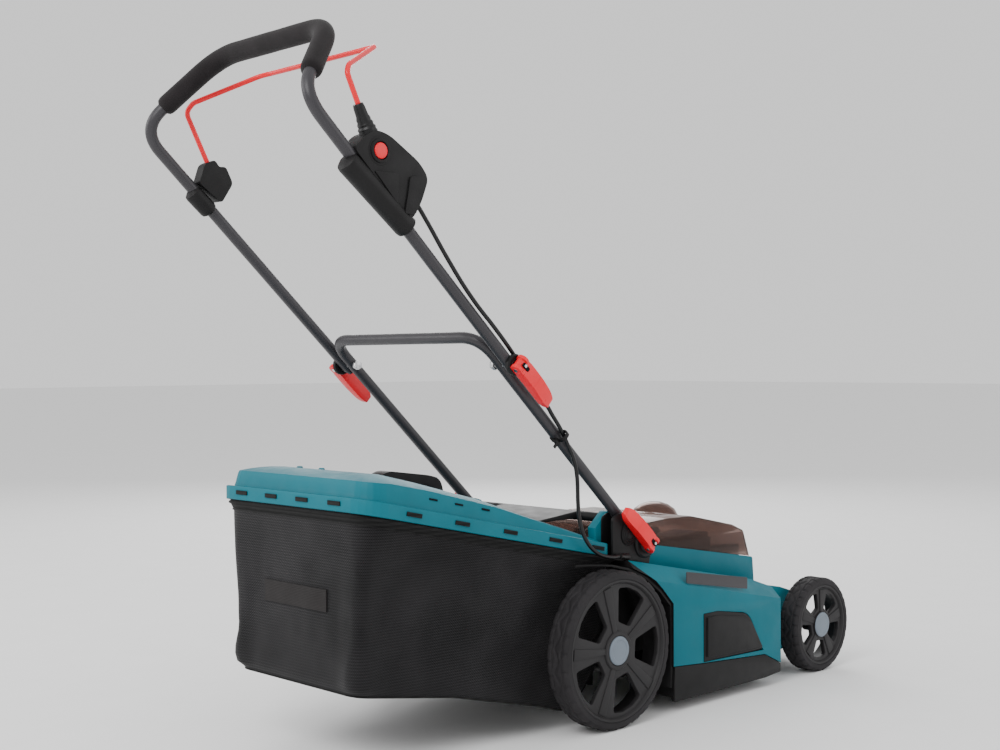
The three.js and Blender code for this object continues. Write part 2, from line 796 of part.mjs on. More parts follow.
// ---- rear flap ----
function rearFlap() {
  const barrel = rodX(-66, 322, -148, 148, 8, 16);
  const plate = slabX([[-72, 319], [-64, 330], [28, 321], [29, 316.8], [-60, 318]], -88, 88);
  return join(barrel, plate);
}

// ---- grass catcher ----
const rimLow = (y) => RIM_Z + CATCHER_SLOPE * y;
// The lid's height above its rim, from the front to its highest part.
const CROWN = [[-60, 23], [-16, 26], [60, 38], [120, 47], [240, 60]];
const catcherPlan = (half, front, rear, corner) => [
  [-half, front, 12], [half, front, 12], [half, rear, corner], [-half, rear, corner],
];

function lidSlots() {
  const slots = [];
  for (const y of [-2, 96, 194, 292, 384]) {
    for (const side of [-1, 1]) {
      slots.push(sloped(
        box(
          side * RIM_HALF - 6, side * RIM_HALF + 6, y - 14, y + 14, 8.5, 14.5,
        ).translate(0, 0, RIM_Z),
        CATCHER_SLOPE,
        0,
      ));
    }
  }
  for (const x of [-114, -38, 38, 114]) {
    slots.push(sloped(
      box(x - 14, x + 14, 455, 480, 8.5, 14.5).translate(0, 0, RIM_Z),
      CATCHER_SLOPE,
      0,
    ));
  }
  return join(...slots);
}

function catcherLid() {
  const level = (body) => sloped(body.translate(0, 0, RIM_Z), CATCHER_SLOPE, 0);
  const rim = slabZ(catcherPlan(RIM_HALF, -31, 468, 52), 0, 21);
  const crown = (inset, top) =>
    slabZ(catcherPlan(RIM_HALF - 12 - inset, -28 + inset, 458 - inset, 50), inset ? -5 : 15, 90)
      .intersect(slabX(
        [
          [-60, -20], ...CROWN.map(([y, z]) => [y, z - top]), [380, 66 - top],
          [440, 58 - top, 16], [470, 24], [470, -20],
        ],
        -200,
        200,
      ))
      .intersect(slabY(
        [
          [-180, -20], [-176, 22], [-150, 44 - top, 12], [-90, 66 - top], [90, 66 - top],
          [150, 44 - top, 12], [176, 22], [180, -20],
        ],
        -80,
        500,
      ));
  const inside = join(slabZ(catcherPlan(RIM_HALF - 3, -28, 465, 49), -5, 17.5), crown(3, 3.5));
  const recess = box(-40, 40, 176, 306, 38, 90);
  const earNotch = box(-170, 170, -60, -16, -40, 100);
  const shell = join(rim, crown(0, 0)).subtract(inside);
  const well = box(-43, 43, 173, 309, 34.5, 58).intersect(crown(0, 0)).subtract(recess);
  return level(join(shell.subtract(recess), well).subtract(earNotch)).subtract(lidSlots());
}

function catcherHandle() {
  const arch = slabX(
    [
      [176.5, 373], [178, 392, 8], [196, 398, 10], [290, 412, 10], [306, 400, 6], [305.5, 393],
      [290, 398, 8], [200, 384, 8], [192, 376],
    ],
    -13,
    13,
  );
  return arch.subtract(catcherLidBlock());
}

function catcherLidBlock() {
  return sloped(
    join(
      box(-60, 60, 160, 176.3, -10, 90),
      box(-60, 60, 305.7, 330, -10, 90),
    ).translate(0, 0, RIM_Z),
    CATCHER_SLOPE,
    0,
  );
}

function lidPanel() {
  const plan = slabZ([[-70, -12, 10], [70, -12, 10], [70, 168, 14], [-70, 168, 14]], 0, 90);
  const top = (lift) => slabX(
    [[-60, 0], ...CROWN.map(([y, z]) => [y, z + lift]), [240, 0]],
    -80,
    80,
  );
  return sloped(
    plan.intersect(top(3.4)).subtract(top(GAP)).translate(0, 0, RIM_Z),
    CATCHER_SLOPE,
    0,
  );
}

function catcherBag() {
  const side = (t) => [
    [-49, 96 + t],
    [20, 44 + t],
    [70, 27 + t],
    [452 - t, 109 + t, 10],
    [463 - t, rimLow(463) - 1 + (t ? 40 : 0)],
    [-49, rimLow(-49) - 1 + (t ? 40 : 0)],
  ];
  const bodyOuter = slabX(side(0), -RIM_HALF + 4, RIM_HALF - 4);
  const bodyInner = slabX(
    [[-80, 99], ...side(3).slice(1, 5), [-80, 320]],
    -RIM_HALF + 7,
    RIM_HALF - 7,
  );
  const across = (t) => [
    [-142 + t, -180], [-BAG_HALF + t, -40, 40], [-BAG_HALF + 2 + t, 190], [-RIM_HALF + 4 + t, 290],
    [RIM_HALF - 4 - t, 290], [BAG_HALF - 2 - t, 190], [BAG_HALF - t, -40, 40], [142 - t, -180],
  ];
  const tapered = (t) => sloped(slabY(across(t), -90, 480), CATCHER_SLOPE, 0);
  const plan = (t) => slabZ(
    [
      [-RIM_HALF + t, -90], [RIM_HALF - t, -90], [RIM_HALF - t, 463 - t, 50],
      [-RIM_HALF + t, 463 - t, 50],
    ],
    0,
    420,
  );
  const outer = bodyOuter.intersect(tapered(0)).intersect(plan(0));
  const inner = bodyInner.intersect(tapered(3)).intersect(plan(3));
  return outer.subtract(inner).subtract(box(-200, 200, -60, -30.6, 250, 400));
}

function mouthFrame() {
  return slabY(
    [[-164, 92, 10], [-164, 254, 10], [164, 254, 10], [164, 92, 10]],
    -57,
    -49.6,
  ).subtract(
    slabY([[-130, 104, 8], [-130, 238, 8], [130, 238, 8], [130, 104, 8]], -70, -40),
  );
}

function bagStrap() {
  return box(-76, 76, 464.5, 467.5, 224, 256);
}

// ---- assembly ----
place("deck_base", deckBase(), FINISH.black);
place("deck_cover", deckCover(), FINISH.teal);
place("battery_housing", batteryHousing(), FINISH.teal);
placePair("side_hatch", sideHatch(), FINISH.black);
place("battery_tray", batteryTray(), FINISH.black);
place("battery_lid", batteryLid(), FINISH.smoke);
place("battery_pack_right", batteryPack(-1), FINISH.graphite);
place("battery_pack_left", batteryPack(1), FINISH.graphite);
place("safety_key", safetyKey(), FINISH.red);
place("motor_can", motorCan(), FINISH.steel);
place("motor_rotor", motorRotor(), FINISH.steel);
place("cutting_blade", cuttingBlade(), FINISH.steel);
place("blade_bolt", bladeBolt(), FINISH.steel);
place("controller_box", box(-60, 60, -585, -528, ROOF_Z + GAP, 130), FINISH.black);
place("height_lever", heightLever(), FINISH.black);
place("rear_axle", crankAxle(REAR_WHEEL, REAR_CRANK), FINISH.steel);
place("front_axle", crankAxle(FRONT_WHEEL, FRONT_CRANK), FINISH.steel);
for (const [sideName, side] of [["right", -1], ["left", 1]]) {
  addWheel("rear_wheel_" + sideName, REAR_WHEEL, side);
  addWheel("front_wheel_" + sideName, FRONT_WHEEL, side);
}
placePair("handle_bracket", handleBracket(), FINISH.black);
placePair("lower_clamp_bolt", clampBolt(LOWER_PIVOT, 163, 196), FINISH.steel);
placePair("upper_clamp_bolt", clampBolt(UPPER_PIVOT, 168.6, 210), FINISH.steel);
placePair("lower_cam_lever", camLever(LOWER_PIVOT, 197, 1), FINISH.red);
placePair("upper_cam_lever", camLever(UPPER_PIVOT, 210.6, -1), FINISH.red);
place("lower_handle_tube", lowerHandleTube(), FINISH.graphite);
place("upper_handle_tube", upperHandleTube(), FINISH.graphite);
place("foam_grip", foamGrip(), FINISH.foam);
place("switch_box", switchBox(), FINISH.graphite);
place("safety_button", safetyButton(), FINISH.red);
place("bail_clamp", bailClamp(), FINISH.graphite);
place("bail_wire", bailWire(), FINISH.red);
place("bail_boot", bailBoot(), FINISH.rubber);
place("cable_upper", cable(CABLE_UPPER), FINISH.rubber);
place("cable_lower", cable(CABLE_LOWER), FINISH.rubber);
place("cable_tail", cable(CABLE_TAIL), FINISH.rubber);
place("cable_clip", cableClip(), FINISH.black);
place("cable_gland", cableGland(), FINISH.black);
place("rear_flap", rearFlap(), FINISH.black);
place("catcher_lid", catcherLid(), FINISH.teal);
place("catcher_handle", catcherHandle(), FINISH.black);
place("lid_panel", lidPanel(), FINISH.panel);
place("catcher_bag", catcherBag(), FINISH.fabric);
place("mouth_frame", mouthFrame(), FINISH.black);
place("bag_strap", bagStrap(), FINISH.fabric);

export default mower;
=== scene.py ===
"""Looks of the battery lawn mower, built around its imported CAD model.

Shapes are worked out in millimetres from the ground point under the rear axle, as in the part's
source, and turned into the frame's metres when they are added to the scene.
"""

from math import cos, exp, pi, radians, sin, tau

import bmesh
import bpy
from mathutils import Matrix, Quaternion, Vector, noise


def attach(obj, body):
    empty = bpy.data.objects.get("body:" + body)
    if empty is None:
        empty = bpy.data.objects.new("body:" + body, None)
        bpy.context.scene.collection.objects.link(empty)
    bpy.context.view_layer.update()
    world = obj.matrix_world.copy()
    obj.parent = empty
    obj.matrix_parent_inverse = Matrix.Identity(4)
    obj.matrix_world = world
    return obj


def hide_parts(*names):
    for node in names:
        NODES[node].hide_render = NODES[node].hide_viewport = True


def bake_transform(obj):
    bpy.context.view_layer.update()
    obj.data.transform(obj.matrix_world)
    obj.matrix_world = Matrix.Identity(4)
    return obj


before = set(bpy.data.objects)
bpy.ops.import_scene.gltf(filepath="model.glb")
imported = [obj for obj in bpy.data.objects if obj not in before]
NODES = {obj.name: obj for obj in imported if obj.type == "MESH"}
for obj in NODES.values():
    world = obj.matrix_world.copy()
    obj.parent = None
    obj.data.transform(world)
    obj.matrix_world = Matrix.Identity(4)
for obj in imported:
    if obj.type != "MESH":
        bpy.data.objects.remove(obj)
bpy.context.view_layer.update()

# ---- driving dimensions, in millimetres ----
REAR_AXLE_Y = 47.8
WHEELS = {
    "rear_wheel": {"radius": 125, "width": 43, "y": 0, "outer": 235.6, "window": radians(-4)},
    "front_wheel": {"radius": 87, "width": 40, "y": -586.6, "outer": 226.4, "window": radians(-22)},
}
SPOKES = 5
TUBE_RADIUS = 9
LOWER_TUBE_X = 178
TUBE_ANGLE = radians(43.1)
RUN = Vector((0, cos(TUBE_ANGLE), sin(TUBE_ANGLE)))
LOWER_PIVOT = Vector((0, -114, 280))
UPPER_PIVOT = Vector((0, 204, 576))
BAIL_PIVOT = Vector((0, 462, 872))
BUTTON = Vector((-216, 464, 866))
CABLE_RADIUS = 3.2
RIM_Z = 272
RIM_HALF = 188
SLOPE = 0.2145
LID_FRONT = -31
LID_REAR = 468
LID_RECESS_Y = 241
BAG_FRONT = -48
BAG_REAR = 463
SIDES = {"right": -1, "left": 1}


# ---- how edges are rounded ----
PLATE_CORNER = radians(32)
CAD_CORNER = radians(28)
SMOOTH_UP_TO = 35
WELD_REACH = 0.00002


# ---- shapes: (list of points, list of faces) ----
def merged(*shapes):
    points, faces = [], []
    for more_points, more_faces in shapes:
        start = len(points)
        points += more_points
        faces += [tuple(i + start for i in face) for face in more_faces]
    return points, faces


def moved(shape, matrix):
    return [matrix @ Vector(p) for p in shape[0]], shape[1]


def shifted(shape, x, y, z):
    return moved(shape, Matrix.Translation((x, y, z)))


def mirrored(shape):
    return moved(shape, Matrix.Diagonal((-1, 1, 1, 1)))


def on_side(shape, side):
    """A shape made for the right side, or its mirror image."""
    return shape if side < 0 else mirrored(shape)


def basis(u, v, w, origin=(0, 0, 0)):
    """The matrix that takes x, y, z to the directions u, v, w from an origin."""
    turn = Matrix((Vector(u), Vector(v), Vector(w))).transposed().to_4x4()
    return Matrix.Translation(origin) @ turn


# Local x runs to the rear and local y up; local z runs to the left, or out of the right side.
ACROSS_X = basis((0, 1, 0), (0, 0, 1), (1, 0, 0))
OUT_RIGHT = basis((0, 1, 0), (0, 0, 1), (-1, 0, 0))


def standing(way, origin):
    """The matrix that takes z to a direction from an origin."""
    turn = Vector((0, 0, 1)).rotation_difference(Vector(way).normalized())
    return Matrix.Translation(origin) @ turn.to_matrix().to_4x4()


def rounded(corners, steps=5):
    """A closed outline of [u, v] or [u, v, radius] corners, as points."""
    points = []
    for i, corner in enumerate(corners):
        here = Vector(corner[:2])
        radius = corner[2] if len(corner) > 2 else 0
        if not radius:
            points.append(here)
            continue
        start = here + (Vector(corners[i - 1][:2]) - here).normalized() * radius
        end = here + (Vector(corners[(i + 1) % len(corners)][:2]) - here).normalized() * radius
        for k in range(steps + 1):
            t = k / steps
            points.append((1 - t) ** 2 * start + 2 * t * (1 - t) * here + t * t * end)
    return [p for i, p in enumerate(points) if (p - points[i - 1]).length > 0.05]


def rectangle(u0, u1, v0, v1, radius):
    return rounded([[u0, v0, radius], [u1, v0, radius], [u1, v1, radius], [u0, v1, radius]])


def polar(reach, turn):
    return [reach * cos(turn), reach * sin(turn)]


def circle(radius, sides):
    return [Vector(polar(radius, tau * k / sides)) for k in range(sides)]


def bent(points, reach, steps=12):
    """A path of straight runs whose corners are rounded over a reach."""
    points = [Vector(p) for p in points]
    path = [points[0]]
    for before, here, after in zip(points, points[1:], points[2:]):
        room = min(reach, (here - path[-1]).length / 2.01, (here - after).length / 2.01)
        start = here + (before - here).normalized() * room
        end = here + (after - here).normalized() * room
        for k in range(steps + 1):
            t = k / steps
            path.append((1 - t) ** 2 * start + 2 * t * (1 - t) * here + t * t * end)
    return path + [points[-1]]


def smooth_path(points, steps):
    """A Catmull-Rom curve through the points."""
    points = [Vector(p) for p in points]
    ends = [2 * points[0] - points[1]] + points + [2 * points[-1] - points[-2]]
    path = []
    for a, b, c, d in zip(ends, ends[1:], ends[2:], ends[3:]):
        for k in range(steps):
            t = k / steps
            place = 2 * b + (c - a) * t
            place += (2 * a - 5 * b + 4 * c - d) * t**2
            place += (3 * b - a - 3 * c + d) * t**3
            path.append(0.5 * place)
    return path + [points[-1]]


def even(path, step):
    """The same path with its points about a step apart."""
    points = [Vector(path[0])]
    for a, b in zip(path, path[1:]):
        parts = max(1, round((Vector(b) - Vector(a)).length / step))
        points += [Vector(a).lerp(Vector(b), (k + 1) / parts) for k in range(parts)]
    return points


def sweep(path, radius, sides):
    """A closed tube along a path. The radius is one number, or one for each point."""
    path = [Vector(p) for p in path]
    radii = radius if isinstance(radius, list) else [radius] * len(path)
    last = len(path) - 1
    ways = [(path[min(i + 1, last)] - path[max(i - 1, 0)]).normalized() for i in range(len(path))]
    normal = ways[0].orthogonal().normalized()
    points, faces = [], []
    for i, (centre, way, size) in enumerate(zip(path, ways, radii)):
        if i:
            normal = ways[i - 1].rotation_difference(way) @ normal
        side = way.cross(normal)
        for k in range(sides):
            turn = tau * k / sides
            points.append(centre + (normal * cos(turn) + side * sin(turn)) * size)
    for i in range(last):
        for k in range(sides):
            a, b = i * sides + k, i * sides + (k + 1) % sides
            faces.append((a, b, b + sides, a + sides))
    faces.append(tuple(reversed(range(sides))))
    faces.append(tuple(range(last * sides, (last + 1) * sides)))
    return points, faces


def blunt(count, radius, soft):
    """Radii along a path whose ends are rounded over a number of points."""
    ends = [min(i, count - 1 - i, soft) / soft for i in range(count)]
    return [radius * (0.55 + 0.45 * (1 - (1 - e) ** 2) ** 0.5) for e in ends]


def lathe(profile, sides):
    """A turned solid about Z from a closed [radius, z] profile."""
    points = [Vector((*polar(r, tau * k / sides), z)) for k in range(sides) for r, z in profile]
    size = len(profile)
    faces = []
    for k in range(sides):
        for j in range(size):
            a, b = k * size + j, k * size + (j + 1) % size
            c, d = ((k + 1) % sides) * size + (j + 1) % size, ((k + 1) % sides) * size + j
            faces.append((a, b, c, d))
    return points, faces


def disc(profile, sides):
    """A turned solid about Z from an open [radius, z] profile that starts and ends on the axis."""
    inner = profile[1:-1]
    points, faces = [], []
    for k in range(sides):
        points += [Vector((*polar(r, tau * k / sides), z)) for r, z in inner]
    size = len(inner)
    for k in range(sides):
        for j in range(size - 1):
            a, d = k * size + j, ((k + 1) % sides) * size + j
            faces.append((a, a + 1, d + 1, d))
    low, high = len(points), len(points) + 1
    points += [Vector((0, 0, profile[0][1])), Vector((0, 0, profile[-1][1]))]
    for k in range(sides):
        a, d = k * size, ((k + 1) % sides) * size
        faces.append((low, a, d))
        faces.append((high, d + size - 1, a + size - 1))
    return points, faces


def plate(outlines, thickness, bevel, segments=3):
    """A flat plate from an outline and its holes, standing on z = 0, with rounded edges."""
    bm = bmesh.new()
    for outline in outlines:
        ring = [bm.verts.new((p[0], p[1], 0)) for p in outline]
        for a, b in zip(ring, ring[1:] + ring[:1]):
            bm.edges.new((a, b))
    bmesh.ops.triangle_fill(bm, use_beauty=True, edges=bm.edges[:])
    made = bmesh.ops.extrude_face_region(bm, geom=bm.faces[:])
    lifted = [v for v in made["geom"] if isinstance(v, bmesh.types.BMVert)]
    bmesh.ops.translate(bm, vec=(0, 0, thickness), verts=lifted)
    bmesh.ops.recalc_face_normals(bm, faces=bm.faces[:])
    sharp = [e for e in bm.edges if e.is_manifold and e.calc_face_angle() > PLATE_CORNER]
    bmesh.ops.bevel(
        bm, geom=sharp, offset=bevel, segments=segments, profile=0.5, affect="EDGES", clamp_overlap=True
    )
    bm.verts.index_update()
    shape = [v.co.copy() for v in bm.verts], [tuple(v.index for v in f.verts) for f in bm.faces]
    bm.free()
    return shape


def block(x0, x1, y0, y1, z0, z1, bevel):
    """A box between its limits, with rounded edges."""
    outline = rectangle(x0, x1, y0, y1, min(2 * bevel, (x1 - x0) / 3))
    return shifted(plate([outline], z1 - z0, bevel), 0, 0, z0)


def bar(half_x, half_y, half_z, bevel):
    """A box about the origin, with rounded edges."""
    return block(-half_x, half_x, -half_y, half_y, -half_z, half_z, bevel)


# ---- materials ----
# Colours are linear, scales are per metre and bump depths are in metres.
def new_material(name):
    """A material, its node tree, its shader and the place on the object."""
    made = bpy.data.materials.new(name)
    made.use_nodes = True
    tree = made.node_tree
    place = tree.nodes.new("ShaderNodeTexCoord").outputs["Object"]
    return made, tree, tree.nodes["Principled BSDF"], place


def noise_node(tree, place, scale, detail=3.0, stretch=None):
    """Noise over the object, from about 0.3 to 0.7 for the most part."""
    node = tree.nodes.new("ShaderNodeTexNoise")
    node.inputs["Scale"].default_value = scale
    node.inputs["Detail"].default_value = detail
    if stretch:
        mapping = tree.nodes.new("ShaderNodeMapping")
        mapping.inputs["Scale"].default_value = stretch
        tree.links.new(place, mapping.inputs["Vector"])
        place = mapping.outputs["Vector"]
    tree.links.new(place, node.inputs["Vector"])
    return node.outputs["Fac"]


def ranged(tree, value, low, high, start=0.3, end=0.7):
    """A value that runs from start to end, taken to run from low to high."""
    node = tree.nodes.new("ShaderNodeMapRange")
    node.inputs["From Min"].default_value = start
    node.inputs["From Max"].default_value = end
    node.inputs["To Min"].default_value = low
    node.inputs["To Max"].default_value = high
    tree.links.new(value, node.inputs["Value"])
    return node.outputs["Result"]


def mixed(tree, share, first, second):
    """The colour between two colours at a share of the way."""
    node = tree.nodes.new("ShaderNodeMix")
    node.data_type = "RGBA"
    node.inputs["A"].default_value = (*first, 1)
    node.inputs["B"].default_value = (*second, 1)
    tree.links.new(share, node.inputs["Factor"])
    return node.outputs["Result"]


def calculated(tree, operation, first, second=None):
    node = tree.nodes.new("ShaderNodeMath")
    node.operation = operation
    for socket, value in zip(node.inputs, (first, second)):
        if isinstance(value, (int, float)):
            socket.default_value = value
        elif value is not None:
            tree.links.new(value, socket)
    return node.outputs[0]


def bumped(tree, shader, height, strength, distance):
    node = tree.nodes.new("ShaderNodeBump")
    node.inputs["Strength"].default_value = strength
    node.inputs["Distance"].default_value = distance
    tree.links.new(height, node.inputs["Height"])
    tree.links.new(node.outputs["Normal"], shader.inputs["Normal"])


def moulded(name, color, roughness, grain=700, depth=0.00012, drift=0.07, spread=0.05, **constants):
    """Plastic, paint or rubber: a colour and a gloss that drift a little, and a fine grain in the bump."""
    made, tree, shader, place = new_material(name)
    darker = [c * (1 - drift) for c in color]
    lighter = [c * (1 + drift) + drift * 0.008 for c in color]
    broad = ranged(tree, noise_node(tree, place, 11, 4), 0, 1)
    tree.links.new(mixed(tree, broad, darker, lighter), shader.inputs["Base Color"])
    fine = noise_node(tree, place, grain, 2)
    cloudy = noise_node(tree, place, 45, 4)
    gloss = ranged(tree, cloudy, roughness - spread, roughness + spread)
    tree.links.new(gloss, shader.inputs["Roughness"])
    bumped(tree, shader, fine, 0.5, depth)
    for socket, value in constants.items():
        shader.inputs[socket.replace("_", " ")].default_value = value
    return made


def brushed(name, color, roughness):
    """Zinc-plated steel with fine drawn lines."""
    made, tree, shader, place = new_material(name)
    lines = noise_node(tree, place, 260, 3, stretch=(0.08, 1, 1))
    patches = ranged(tree, noise_node(tree, place, 60, 5), 0, 1)
    tree.links.new(mixed(tree, patches, [c * 0.8 for c in color], color), shader.inputs["Base Color"])
    tree.links.new(ranged(tree, lines, roughness - 0.08, roughness + 0.1), shader.inputs["Roughness"])
    bumped(tree, shader, lines, 0.25, 0.0001)
    shader.inputs["Metallic"].default_value = 1.0
    return made


def mesh_cloth(name, thread, gap, pitch, sheen):
    """Coated mesh: threads that run round the bag and down it, with dark gaps between them."""
    made, tree, shader, place = new_material(name)
    axes = tree.nodes.new("ShaderNodeSeparateXYZ")
    tree.links.new(place, axes.inputs["Vector"])
    around = calculated(tree, "SUBTRACT", axes.outputs["Y"], calculated(tree, "ABSOLUTE", axes.outputs["X"]))
    waves = [
        calculated(tree, "SINE", calculated(tree, "MULTIPLY", way, tau / pitch * 1000))
        for way in (around, axes.outputs["Z"])
    ]
    weave = calculated(tree, "MULTIPLY", *waves)
    ribs = calculated(tree, "ADD", weave, calculated(tree, "MULTIPLY", waves[1], 0.6))
    patches = ranged(tree, noise_node(tree, place, 9, 4), -0.25, 0.35)
    shown = calculated(tree, "ADD", ranged(tree, ribs, 0.1, 0.8, -1.0, 1.2), patches)
    tree.links.new(mixed(tree, shown, gap, thread), shader.inputs["Base Color"])
    tree.links.new(ranged(tree, ribs, 0.8, 0.5, -1.0, 1.2), shader.inputs["Roughness"])
    bumped(tree, shader, ribs, 0.6, 0.0004)
    shader.inputs["Sheen Weight"].default_value = sheen
    shader.inputs["Sheen Roughness"].default_value = 0.4
    shader.inputs["Specular IOR Level"].default_value = 0.15
    return made


def webbing(name, color, pitch):
    """Tight ribbed weave of a strap or a binding."""
    made, tree, shader, place = new_material(name)
    wave = tree.nodes.new("ShaderNodeTexWave")
    wave.bands_direction = "Z"
    wave.inputs["Scale"].default_value = tau / (20 * pitch / 1000) / 3.2
    wave.inputs["Distortion"].default_value = 1.2
    wave.inputs["Detail"].default_value = 2
    tree.links.new(place, wave.inputs["Vector"])
    lighter = [c * 1.8 + 0.004 for c in color]
    tree.links.new(mixed(tree, wave.outputs["Fac"], color, lighter), shader.inputs["Base Color"])
    tree.links.new(ranged(tree, noise_node(tree, place, 500), 0.75, 0.95), shader.inputs["Roughness"])
    bumped(tree, shader, wave.outputs["Fac"], 0.5, 0.0003)
    shader.inputs["Sheen Weight"].default_value = 0.05
    shader.inputs["Specular IOR Level"].default_value = 0.15
    return made


def smoked(name, color):
    """Smoked clear plastic with a slightly uneven polish."""
    made = moulded(name, color, 0.1, grain=6, depth=0.00004, drift=0.15, spread=0.03)
    shader = made.node_tree.nodes["Principled BSDF"]
    shader.inputs["Transmission Weight"].default_value = 0.9
    shader.inputs["IOR"].default_value = 1.15
    return made


def foam(name):
    """Closed-cell foam: a velvety skin over small cells."""
    made, tree, shader, place = new_material(name)
    cells = tree.nodes.new("ShaderNodeTexVoronoi")
    cells.inputs["Scale"].default_value = 900
    tree.links.new(place, cells.inputs["Vector"])
    broad = ranged(tree, noise_node(tree, place, 30, 5), 0, 1)
    dark, light = (0.008, 0.0066, 0.007), (0.017, 0.0145, 0.0155)
    tree.links.new(mixed(tree, broad, dark, light), shader.inputs["Base Color"])
    tree.links.new(ranged(tree, broad, 0.82, 0.97, 0, 1), shader.inputs["Roughness"])
    bumped(tree, shader, cells.outputs["Distance"], 0.45, 0.0004)
    shader.inputs["Sheen Weight"].default_value = 0.08
    shader.inputs["Specular IOR Level"].default_value = 0.15
    return made


TEAL = moulded(
    "teal_plastic_look", (0.0, 0.125, 0.165), 0.5, grain=900, depth=0.00003, Specular_IOR_Level=0.18
)
BLACK = moulded("black_plastic_look", (0.007, 0.0066, 0.007), 0.5, Specular_IOR_Level=0.2)
WHEEL = moulded("wheel_plastic_look", (0.019, 0.018, 0.019), 0.5, grain=500, Specular_IOR_Level=0.22)
GRAPHITE = moulded(
    "graphite_paint_look", (0.03, 0.028, 0.032), 0.4, grain=300, depth=0.00002, Specular_IOR_Level=0.35
)
TYRE = moulded(
    "tyre_look", (0.02, 0.0185, 0.02), 0.72, grain=420, depth=0.0003, drift=0.2, Specular_IOR_Level=0.2
)
RUBBER = moulded(
    "rubber_look", (0.006, 0.006, 0.0065), 0.42, grain=300, depth=0.0001, Specular_IOR_Level=0.3
)
CABLE = moulded("cable_look", (0.005, 0.005, 0.0055), 0.34, grain=200, depth=0.0001, Specular_IOR_Level=0.3)
RED = moulded(
    "red_plastic_look", (0.78, 0.012, 0.022), 0.32, depth=0.00003, drift=0.06, Specular_IOR_Level=0.3
)
RED_PAINT = moulded("red_paint_look", (0.78, 0.01, 0.02), 0.26, depth=0.00003, Specular_IOR_Level=0.3)
STEEL = brushed("zinc_steel_look", (0.62, 0.62, 0.63), 0.32)
CAP = moulded("hub_cap_look", (0.15, 0.18, 0.215), 0.42, grain=500, drift=0.12, Specular_IOR_Level=0.3)
PANEL = moulded("lid_panel_look", (0.19, 0.19, 0.24), 0.25, depth=0.00004)
# A near-black look that paints the shade inside the cam levers' fork slots and the lid's vents, which are
# not cut open.
PAINTED_SHADE = moulded("painted_shade_look", (0.004, 0.004, 0.005), 0.7, Specular_IOR_Level=0.1)
SMOKE = smoked("smoke_look", (0.28, 0.19, 0.165))
FOAM = foam("foam_look")
CLOTH = mesh_cloth("mesh_cloth_look", (0.02, 0.019, 0.0205), (0.0015, 0.0015, 0.0018), 4.2, 0.08)
HEM = webbing("hem_look", (0.004, 0.004, 0.004), 2.2)
STRAP = webbing("strap_look", (0.012, 0.0106, 0.0106), 0.7)
PACK = moulded("battery_look", (0.02, 0.02, 0.022), 0.45, Specular_IOR_Level=0.25)


# ---- adding pieces to the scene ----
def add(name, shape, look, body=None, stands_for=(), smooth=SMOOTH_UP_TO):
    """Makes a piece from a shape; edges that turn by more than smooth degrees stay sharp."""
    mesh = bpy.data.meshes.new(name)
    points = [(x / 1000, (y + REAR_AXLE_Y) / 1000, z / 1000) for x, y, z in shape[0]]
    mesh.from_pydata(points, [], shape[1])
    bm = bmesh.new()
    bm.from_mesh(mesh)
    bmesh.ops.recalc_face_normals(bm, faces=bm.faces[:])
    bm.to_mesh(mesh)
    bm.free()
    mesh.materials.append(look)
    mesh.shade_smooth()
    mesh.set_sharp_from_angle(angle=radians(smooth))
    piece = bpy.data.objects.new(name, mesh)
    bpy.context.scene.collection.objects.link(piece)
    if body:
        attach(piece, body)
    if stands_for:
        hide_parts(*stands_for)
    return piece


def applied(piece):
    """Applies a piece's modifiers to its mesh."""
    graph = bpy.context.evaluated_depsgraph_get()
    mesh = bpy.data.meshes.new_from_object(piece.evaluated_get(graph))
    piece.modifiers.clear()
    piece.data = mesh


def cut(piece, shape):
    """Takes a shape away from a piece."""
    tool = add(piece.name + "_cutter", shape, PAINTED_SHADE)
    modifier = piece.modifiers.new("cut", "BOOLEAN")
    modifier.operation = "DIFFERENCE"
    modifier.solver = "EXACT"
    modifier.object = tool
    applied(piece)
    bpy.data.objects.remove(tool)
    piece.data.shade_smooth()
    piece.data.set_sharp_from_angle(angle=radians(SMOOTH_UP_TO))


def soften(name, look, width):
    """Gives a CAD node its look and rounds its edges over a width in millimetres."""
    node = NODES[name]
    node.data.materials.clear()
    node.data.materials.append(look)
    for face in node.data.polygons:
        face.use_smooth = True
    weld = node.modifiers.new("weld", "WELD")
    weld.merge_threshold = WELD_REACH
    bevel = node.modifiers.new("edges", "BEVEL")
    bevel.width = width / 1000
    bevel.segments = 2
    bevel.limit_method = "ANGLE"
    bevel.angle_limit = CAD_CORNER
    bevel.harden_normals = True


# ---- camera, floor and light ----
def aim(position, azimuth, elevation, roll):
    """Where a camera stands and how it is turned; it looks along -Z with +Y up."""
    back = Vector((sin(azimuth) * cos(elevation), -cos(azimuth) * cos(elevation), sin(elevation)))
    turn = (-back).to_track_quat("-Z", "Y") @ Quaternion((0, 0, 1), roll)
    return Matrix.Translation(position) @ turn.to_matrix().to_4x4()


def add_camera():
    data = bpy.data.cameras.new("camera")
    data.lens = 50.70
    data.sensor_width = 36
    camera = bpy.data.objects.new("camera", data)
    azimuth, elevation, roll = radians(225.78), radians(0.55), radians(-0.25)
    camera.matrix_world = aim((-1.68903, 1.72325, 0.58101), azimuth, elevation, roll)
    bpy.context.scene.collection.objects.link(camera)
    bpy.context.scene.camera = camera


def add_light(name, position, target, size, power):
    data = bpy.data.lights.new(name, "AREA")
    data.shape = "DISK"
    data.size = size
    data.energy = power
    light = bpy.data.objects.new(name, data)
    way = Vector(target) - Vector(position)
    light.matrix_world = Matrix.Translation(position) @ way.to_track_quat("-Z", "Y").to_matrix().to_4x4()
    bpy.context.scene.collection.objects.link(light)


